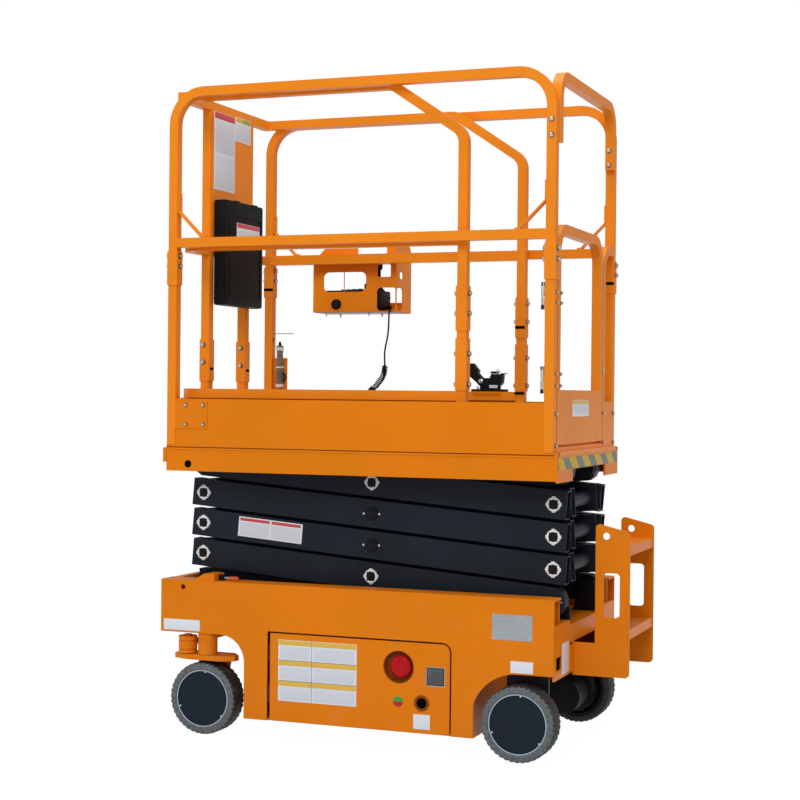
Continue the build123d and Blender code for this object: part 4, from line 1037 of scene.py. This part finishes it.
@dataclass
class ControlDetails:
    """The hand controller, its box, the document case, the deck lock and the cable connector."""


    def case(self) -> None:
        """A moulded case with side ridges, a lid frame, two latches and a blank label."""
        low, high = corners("document_case")
        middle = (low + high) / 2
        size = high - low
        shell = Piece("case_shell", "extension", "case_plastic")
        shell.block(middle, size, 0.012)
        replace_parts(shell.done(), "document_case")
        trim = Piece("case_trim", "extension", "case_plastic")
        for k in range(4):
            trim.block((low.x + 0.010 + 0.010 * k, high.y, middle.z - 0.02), (0.004, 0.003, size.z - 0.10),
                       0.0012)
        for z in (low.z + 0.030, high.z - 0.050):
            trim.block((low.x - 0.0005, middle.y, z), (0.003, size.y - 0.040, 0.004), 0.001)
        for y in (low.y + 0.022, high.y - 0.022):
            trim.block((low.x - 0.0005, y, middle.z - 0.010), (0.003, 0.004, size.z - 0.084), 0.001)
        for y in (middle.y - 0.075, middle.y + 0.060):
            trim.block((low.x + 0.004, y, high.z - 0.012), (0.010, 0.034, 0.026), 0.003)
        trim.done()
        plates = Plates()
        plates.on_rear("case_label", "extension", "film_white", (-0.117, 0.058), (1.600, 1.667), low.x,
                       0.0004)
        plates.on_rear("case_label_head", "extension", "film_red", (-0.114, 0.055), (1.652, 1.666), low.x,
                       0.0010)
        plates.on_rear("case_label_cell", "extension", "film_grey", (-0.108, 0.049), (1.604, 1.646), low.x,
                       0.0008)

    def controller(self) -> None:
        """The controller's housing, stick, lever, stop button and keys."""
        low, high = corners("hand_controller")
        body_top = 1.464
        stick_x, lever_x, y = 0.328, 0.376, -0.446
        housing = Piece("controller_housing", "platform", "black_plastic")
        middle = ((low.x + high.x) / 2, (low.y + high.y) / 2, (low.z + body_top) / 2)
        housing.block(middle, (high.x - low.x, high.y - low.y, body_top - low.z), 0.010)
        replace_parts(housing.done(), "hand_controller")
        stick = Piece("controller_stick", "platform", "black_rubber")
        boot = [(0.024 - 0.0035 * k + (0.0018 if k % 2 else 0), 0.005 * k) for k in range(5)]
        stick.lathe((stick_x, y, body_top - 0.002), (0, 0, 1), boot + [
            (0.009, 0.026), (0.009, 0.076), (0.0145, 0.079), (0.015, 0.084), (0.015, 0.106), (0.013, 0.1115),
            (0, 0.112)], 32)
        stick.done()
        Piece("controller_lever", "platform", "black_plastic").lathe(
            (lever_x, y, body_top - 0.002), (0, 0, 1), (
            (0.012, 0), (0.011, 0.004), (0.006, 0.006), (0.0055, 0.024), (0.004, 0.028), (0, 0.028)),
            24).done()
        Piece("controller_stop", "platform", "red_plastic").lathe(
            (0.345, -0.492, body_top - 0.001), (0, 0, 1), (
            (0.008, 0), (0.008, 0.006), (0.013, 0.008), (0.013, 0.013), (0.010, 0.016), (0, 0.017)),
            32).done()
        keys = Piece("controller_keys", "platform", "black_plastic")
        for k in range(4):
            keys.block((0.396 + 0.022 * k, y, body_top + 0.002), (0.015, 0.020, 0.011 - 0.0015 * k), 0.0015)
        keys.done()
        Piece("controller_seam", "platform", "black_rubber").block(
            (middle[0], middle[1], 1.440), (high.x - low.x + 0.0016, high.y - low.y + 0.0016, 0.003),
            0.0008).done()

    def box(self) -> None:
        """The box's knob, the bolts under its tray, a pale sheet of painted floor reflection on the tray's
        underside and the rod seen through its window.
        """
        Piece("controller_knob", "platform", "black_plastic").lathe((0.461, -0.376, 1.412), (0, 1, 0), (
            (0.019, 0), (0.019, 0.004), (0.014, 0.005), (0.013, 0.016), (0.010, 0.018), (0, 0.018)),
            30).done()
        bolts = Piece("tray_bolts", "platform", "zinc")
        for x, y in ((0.512, -0.405), (0.346, -0.405), (0.497, -0.500), (0.333, -0.500)):
            bolts.bolt((x, y, 1.3842), (0, 0, -1), 0.0056)
            bolts.lathe((x, y, 1.3842), (0, 0, -1),
                        ((0.0028, 0), (0.0028, 0.0125), (0.0020, 0.0135), (0, 0.0135)), 14)
        bolts.done()
        Piece("box_rod", "platform", "rail_orange").lathe(
            (0.436, -0.388, 1.455), (0, 0, 1), ((0, 0), (0.0016, 0), (0.0016, 0.078), (0, 0.078)), 12).done()
        # Painted reflection of the white floor on the tray's underside
        Piece("tray_underside", "platform", "tray_grey").block(
            (0.3925, -0.4515, 1.3834), (0.313, 0.143, 0.0010), 0.0003).done()

    def deck_lock(self) -> None:
        """The lock's bolts, its label, its slide and the pad it rests on."""
        low, high = corners("deck_lock")
        bolts = Piece("deck_lock_bolts", "extension", "zinc")
        for x, z, size in ((-0.115, 1.140, 0.0084), (-0.176, 1.174, 0.0070), (-0.104, 1.118, 0.0050)):
            bolts.lathe((x, high.y, z), (0, 1, 0),
                        ((size, 0), (size * 0.95, 0.003), (size * 0.5, 0.0045), (0, 0.0045)), 18)
        bolts.done()
        Piece("deck_lock_label", "extension", "film_grey").block(
            (-0.1595, high.y + 0.0003, 1.122), (0.030, 0.0006, 0.010), THIN_BEVEL).done()
        slide = Piece("deck_lock_slide", "extension", "black_steel")
        slide.block((-0.192, (low.y + high.y) / 2, 1.1665), (0.022, 0.010, 0.003), 0.0008)
        slide.block((-0.160, (low.y + high.y) / 2 + 0.004, 1.170), (0.026, 0.012, 0.008), 0.0015)
        slide.done()
        Piece("deck_lock_pad", "extension", "chassis_orange").block(
            (-0.133, -0.2898, 1.0995), (0.098, 0.0014, 0.0110), 0.0005).done()

    def connector(self) -> None:
        """The plug and socket on the right-hand rail: stepped grey bodies with pale rings."""
        axis_x, axis_y = 0.667, -0.3435
        # Each row: where the ring starts, its radius, its height
        rows = ((1.1135, 0.0138, 0.011), (1.1825, 0.0144, 0.0055), (1.2450, 0.0140, 0.0120))
        rings = Piece("connector_rings", "platform", "white_plastic")
        for start, radius, tall in rows:
            rings.lathe((axis_x, axis_y, start), (0, 0, 1), (
                (0.010, 0), (radius, 0), (radius, tall), (0.010, tall)), 30)
        rings.done()
        ribs = Piece("connector_ribs", "platform", "grey_plastic")
        for k in range(5):
            ribs.lathe((axis_x, axis_y, 1.134 + 0.0085 * k), (0, 0, 1), (
                (0.010, 0), (0.0140, 0.0006), (0.0140, 0.0034), (0.010, 0.0040)), 30)
        ribs.done()
        Piece("connector_tip", "platform", "black_rubber").lathe(
            (axis_x, axis_y, 1.2620), (0, 0, 1),
            ((0, 0), (0.0062, 0), (0.0048, 0.010), (0.0030, 0.016), (0, 0.0165)), 20).done()
        hoop = Piece("connector_hoop", "platform", "black_rubber")
        for k in range(13):
            angle = math.pi * (k / 12 - 0.5)
            hoop.lathe((axis_x - 0.012 - 0.010 * math.cos(angle), axis_y, 1.150 + 0.014 * math.sin(angle)),
                       (0, 1, 0), ((0, -0.003), (0.0024, -0.003), (0.0024, 0.003), (0, 0.003)), 10)
        hoop.done()

    def build(self) -> None:
        """Adds everything round the controls."""
        self.case()
        self.controller()
        self.box()
        self.deck_lock()
        self.connector()


@dataclass
class StopButton:
    """The red mushroom button in its deep cup, the lamp and the display on the left door."""

    def build(self) -> None:
        """Replaces the CAD button by a turned head in a cup."""
        low, high = corners("stop_button")
        x, z = (low.x + high.x) / 2, (low.z + high.z) / 2
        radius = (high.x - low.x) / 2
        rim = high.y - low.y - 0.0022
        # The cup's darker orange is painted shade inside the recess
        cup = Piece("stop_cup", "door_left", "shade_orange")
        cup.lathe((x, low.y, z), (0, 1, 0), (
            (0, 0.0), (radius, 0.0), (radius, rim), (radius - 0.002, rim), (radius - 0.004, 0.002),
            (0, 0.002)), 64)
        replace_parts(cup.done(), "stop_button")
        Piece("stop_head", "door_left", "stop_red").lathe((x - 0.003, low.y + 0.0025, z), (0, 1, 0), (
            (0.013, 0), (0.013, 0.005), (0.029, 0.0065), (0.0345, 0.0095), (0.0345, 0.0130), (0.0290, 0.0162),
            (0.0200, 0.0182), (0.0100, 0.0191), (0, 0.0194)), 56).done(60)
        Piece("door_lamp", "door_left", "lamp_face").lathe(
            (-0.077, 0.372, 0.155), (0, 1, 0),
            ((0.0160, 0), (0.0155, 0.0016), (0.0130, 0.0022), (0, 0.0026)), 40).done()
        low, high = corners("ground_display")
        glass = (high.y + 0.0002, high.y + 0.0010)
        Plates().plate("display_glass", "door_left", "screen_grey",
                       (low.x + 0.0045, glass[0], low.z + 0.0045),
                       (high.x - 0.0045, glass[1], high.z - 0.0045))
        bezel = Piece("display_bezel", "door_left", "zinc")
        middle = (low + high) / 2
        for shift_x, shift_z, wide in ((0, 0.5, 1), (0, -0.5, 1), (0.5, 0, 0), (-0.5, 0, 0)):
            across, up = high.x - low.x, high.z - low.z
            bezel.block((middle.x + shift_x * (across - 0.002), high.y + 0.0006,
                         middle.z + shift_z * (up - 0.002)),
                        (across if wide else 0.002, 0.0014, 0.002 if wide else up), 0.0004)
        bezel.done()
        low, high = corners("charge_inlet")
        # Painted shade: a darker orange ring round the inlet and a black disk for the inside of its socket
        Piece("inlet_ring", "door_left", "shade_orange").lathe(
            ((low.x + high.x) / 2, high.y - 0.0004, (low.z + high.z) / 2), (0, 1, 0), (
            (0.0165, 0), (0.0240, 0), (0.0240, 0.0010), (0.0225, 0.0016), (0.0165, 0.0010)), 48).done()
        Piece("inlet_socket", "door_left", "void_black").lathe(
            ((low.x + high.x) / 2, high.y - 0.0002, (low.z + high.z) / 2), (0, 1, 0), (
            (0.0166, 0), (0.0166, 0.0006), (0, 0.0006)), 40).done()


@dataclass
class ChassisDetails:
    """The lashing hole, and the bracket and plug behind the front flange."""

    def build(self) -> None:
        """Adds the small pieces on the chassis."""
        # The lashing hole is a dark red disk of painted shade
        Piece("front_hole", "root", "hole_red").lathe(
            (0.665, 0.3721, 0.4680), (0, 1, 0), ((0.0078, -0.0002), (0.0078, 0.0003), (0, 0.0003)), 28).done()
        Piece("front_bracket", "root", "black_rubber").block(
            (0.551, 0.330, 0.4990), (0.026, 0.012, 0.018), 0.003).done()
        Piece("front_plug", "root", "plug_red").lathe(
            (0.518, 0.330, 0.4965), (-1, 0, 0),
            ((0, 0), (0.006, 0), (0.0075, 0.004), (0.0075, 0.024), (0.005, 0.029), (0, 0.030)), 20).done()
        Piece("front_stem", "root", "zinc").lathe(
            (0.540, 0.330, 0.4985), (-1, 0, 0), ((0, 0), (0.004, 0), (0.004, 0.024), (0, 0.024)), 16).done()


@dataclass
class ControlCord:
    """The control cord: a hanging run, then a curly stretch down to its socket."""

    route_mm: tuple = (
        (294, -418, 1402), (262, -418, 1402), (254, -384, 1399), (253, -362, 1382), (252, -360, 1350),
        (255, -361, 1300), (265, -360, 1258), (268, -360.5, 1226), (266, -360, 1196))
    coil_mm: tuple = ((266, -360, 1196), (264.4, -359.6, 1172), (279, -358.6, 1142), (306, -357, 1112))
    thickness: float = 0.006
    wire: float = 0.0046
    coil_radius: float = 0.0110
    turns: int = 15
    points_per_turn: int = 16
    relief_length: float = 0.042
    relief_pitch: float = 0.0038
    run_in_turns: float = 1.2
    end_reach: float = 0.22
    same_spot: float = 1e-5

    @staticmethod
    def spline(name: str, points: Sequence[Point], radius: float) -> bpy.types.Object:
        """A smooth curve with the points as its control points."""
        data = bpy.data.curves.new(name, "CURVE")
        data.dimensions = "3D"
        data.resolution_u = 12
        data.bevel_depth = radius
        data.bevel_resolution = 5
        line = data.splines.new("NURBS")
        line.points.add(len(points) - 1)
        for spot, place in zip(line.points, points):
            spot.co = (*place, 1.0)
        line.order_u = 3
        line.use_endpoint_u = True
        made = bpy.data.objects.new(name, data)
        bpy.context.scene.collection.objects.link(made)
        return made

    @staticmethod
    def sampled(points: Sequence[Point]) -> list[Vector]:
        """Points read along the smooth line that a route gives."""
        guide = ControlCord.spline("guide", points, 0.0)
        mesh = bpy.data.meshes.new_from_object(guide)
        line = [mesh.vertices[0].co.copy()]
        for vertex in mesh.vertices:
            if (vertex.co - line[-1]).length > ControlCord.same_spot:
                line.append(vertex.co.copy())
        bpy.data.meshes.remove(mesh)
        bpy.data.objects.remove(guide)
        return line

    @staticmethod
    def measured(line: Sequence[Vector]) -> float:
        """The length along a line's points, in metres."""
        return sum((b - a).length for a, b in zip(line, line[1:]))

    def helix(self) -> list[Vector]:
        """The curly stretch's wire, wound about its own route and run out along it at both ends."""
        line = self.sampled([Vector(p) * MM for p in self.coil_mm])
        spans = [(b - a).length for a, b in zip(line, line[1:])]
        total = sum(spans)
        count = self.turns * self.points_per_turn
        wound = []
        side = Vector((1, 0, 0))
        for k in range(count + 1):
            share = k / count
            distance, index = share * total, 0
            while index < len(spans) - 1 and distance > spans[index]:
                distance -= spans[index]
                index += 1
            along = (line[index + 1] - line[index]).normalized()
            centre = line[index] + along * distance
            side = (side - along * side.dot(along)).normalized()
            up = along.cross(side)
            angle = math.tau * self.turns * share
            end = min(1.0, min(share, 1 - share) * self.turns / self.run_in_turns)
            swell = end * end * (3 - 2 * end)
            reach = (self.coil_radius - self.wire / 2) * (self.end_reach + (1 - self.end_reach) * swell)
            wound.append(centre + side * reach * math.cos(angle) + up * reach * math.sin(angle))
        return wound

    def build(self) -> None:
        """Makes both stretches and the strain relief, each hiding the CAD part it replaces."""
        route = [Vector(p) * MM for p in self.route_mm]
        hanging = self.spline("control_cord_line", route, self.thickness / 2)
        hanging.data.materials.append(PALETTE["black_rubber"])
        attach(hanging, "platform")
        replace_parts(hanging, "control_cord")
        line = self.sampled(route)
        wound = self.helix()
        curly = self.spline("control_cord_curl", wound, self.wire / 2)
        curly.data.resolution_u = 2
        curly.data.materials.append(PALETTE["black_rubber"])
        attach(curly, "platform")
        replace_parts(curly, "control_cord_coil")
        curl_length = self.measured(self.sampled(wound))
        relief = Piece("cord_relief", "platform", "black_rubber")
        relief.lathe(route[0] + Vector((0.010, 0, 0)), (-1, 0, 0), (
            (0, 0), (0.0090, 0), (0.0090, 0.006), (0.0070, 0.010), (0, 0.010)), 24)
        travelled, step = 0.0, 0.0
        for start, end in zip(line, line[1:]):
            travelled += (end - start).length
            if travelled < step or travelled > self.relief_length:
                continue
            radius = 0.0072 - 0.0030 * travelled / self.relief_length
            relief.lathe(start, end - start, ((0, 0), (radius, 0.0003), (radius, 0.0021), (0, 0.0024)), 20)
            step += self.relief_pitch
        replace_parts(relief.done(), "cord_gland")


# ------------------------------------------------------------------ studio
@dataclass
class Studio:
    """Pale floor, soft lights and the camera."""

    camera_place: tuple = (-1.8986, 5.1197, 1.0984)
    yaw: float = 21.0188
    pitch: float = -0.2554
    roll: float = 0.5729
    lens: float = 75.006

    def camera(self) -> None:
        """Places the camera in front of the left side, turned and tilted by its three angles."""
        yaw, pitch, roll = (math.radians(a) for a in (self.yaw, self.pitch, self.roll))
        level = Vector((math.sin(yaw), -math.cos(yaw), 0))
        across = Vector((-math.cos(yaw), -math.sin(yaw), 0))
        ahead = level * math.cos(pitch) + Vector((0, 0, 1)) * math.sin(pitch)
        above = Vector((0, 0, 1)) * math.cos(pitch) - level * math.sin(pitch)
        right = across * math.cos(roll) + above * math.sin(roll)
        up = above * math.cos(roll) - across * math.sin(roll)
        data = bpy.data.cameras.new("camera")
        data.lens = self.lens
        data.sensor_width = 36.0
        data.clip_end = 100.0
        made = bpy.data.objects.new("camera", data)
        bpy.context.scene.collection.objects.link(made)
        facing = Matrix((right, up, -ahead)).transposed().to_4x4()
        made.matrix_world = Matrix.Translation(self.camera_place) @ facing
        bpy.context.scene.camera = made

    def floor(self) -> None:
        """A wide pale floor that looks white to the camera and in reflections."""
        mesh = bpy.data.meshes.new("floor")
        reach = 30.0
        mesh.from_pydata([(-reach, -reach, 0), (reach, -reach, 0), (reach, reach, 0), (-reach, reach, 0)],
                         [], [(0, 1, 2, 3)])
        made = bpy.data.objects.new("floor", mesh)
        bpy.context.scene.collection.objects.link(made)
        material = bpy.data.materials.new("floor_white")
        material.use_nodes = True
        tree = material.node_tree
        tree.nodes.clear()
        paths = tree.nodes.new("ShaderNodeLightPath")
        direct = Wire(tree, paths.outputs["Is Camera Ray"])
        glossy = Wire(tree, paths.outputs["Is Glossy Ray"])
        through = Wire(tree, paths.outputs["Is Transmission Ray"])
        seen = (direct + glossy + through).clamp()
        matte = seen.node("ShaderNodeBsdfDiffuse", {"Color": (0.62, 0.62, 0.64, 1)})
        glow = seen.node("ShaderNodeEmission", {"Color": (1, 1, 1, 1), "Strength": 1.055})
        mixed = seen.node("ShaderNodeMixShader", {0: seen * 0.93, 1: matte, 2: glow})
        output = tree.nodes.new("ShaderNodeOutputMaterial")
        tree.links.new(mixed.socket, output.inputs["Surface"])
        mesh.materials.append(material)

    def lights(self) -> None:
        """Soft area lights and an even white surround."""
        world = bpy.data.worlds.new("surround")
        bpy.context.scene.world = world
        world.use_nodes = True
        tree = world.node_tree
        tree.nodes.clear()
        paths = tree.nodes.new("ShaderNodeLightPath")
        seen = Wire(tree, paths.outputs["Is Camera Ray"])
        strength = 0.5 + seen * 0.5
        glow = seen.node("ShaderNodeBackground", {"Color": (1, 1, 1, 1), "Strength": strength})
        output = tree.nodes.new("ShaderNodeOutputWorld")
        tree.links.new(glow.socket, output.inputs["Surface"])
        # Each row: name, place, aimed at, size, power
        rows = (
            ("key", (-1.0, 5.5, 4.0), (0, 0, 1.0), 2.6, 120.0),
            ("fill", (5.0, 3.5, 2.2), (0, 0, 0.9), 3.0, 35.0),
            ("top", (0.0, 0.3, 6.0), (0, 0, 1.0), 3.2, 130.0),
            ("back", (-5.0, -2.0, 2.6), (0, 0, 1.0), 2.2, 26.0),
        )
        for name, place, aim, size, power in rows:
            data = bpy.data.lights.new(name, "AREA")
            data.shape = "DISK"
            data.size = size
            data.energy = power
            made = bpy.data.objects.new(name, data)
            bpy.context.scene.collection.objects.link(made)
            made.location = place
            made.rotation_euler = (Vector(aim) - Vector(place)).to_track_quat("-Z", "Y").to_euler()

    def build(self) -> None:
        """Sets the whole studio."""
        self.camera()
        self.floor()
        self.lights()
        bpy.context.scene.view_settings.view_transform = "Standard"


def main() -> None:
    """Builds every look."""
    steps = (Studio(), CadFinishes(), ControlCord(), TreadedTyres(), WheelCaps(), ScissorDetails(), Plates(),
             PlatformDetails(), ControlDetails(), StopButton(), ChassisDetails())
    for step in steps:
        log.info("building %s", type(step).__name__)
        step.build()


if __name__ == "__main__":
    main()
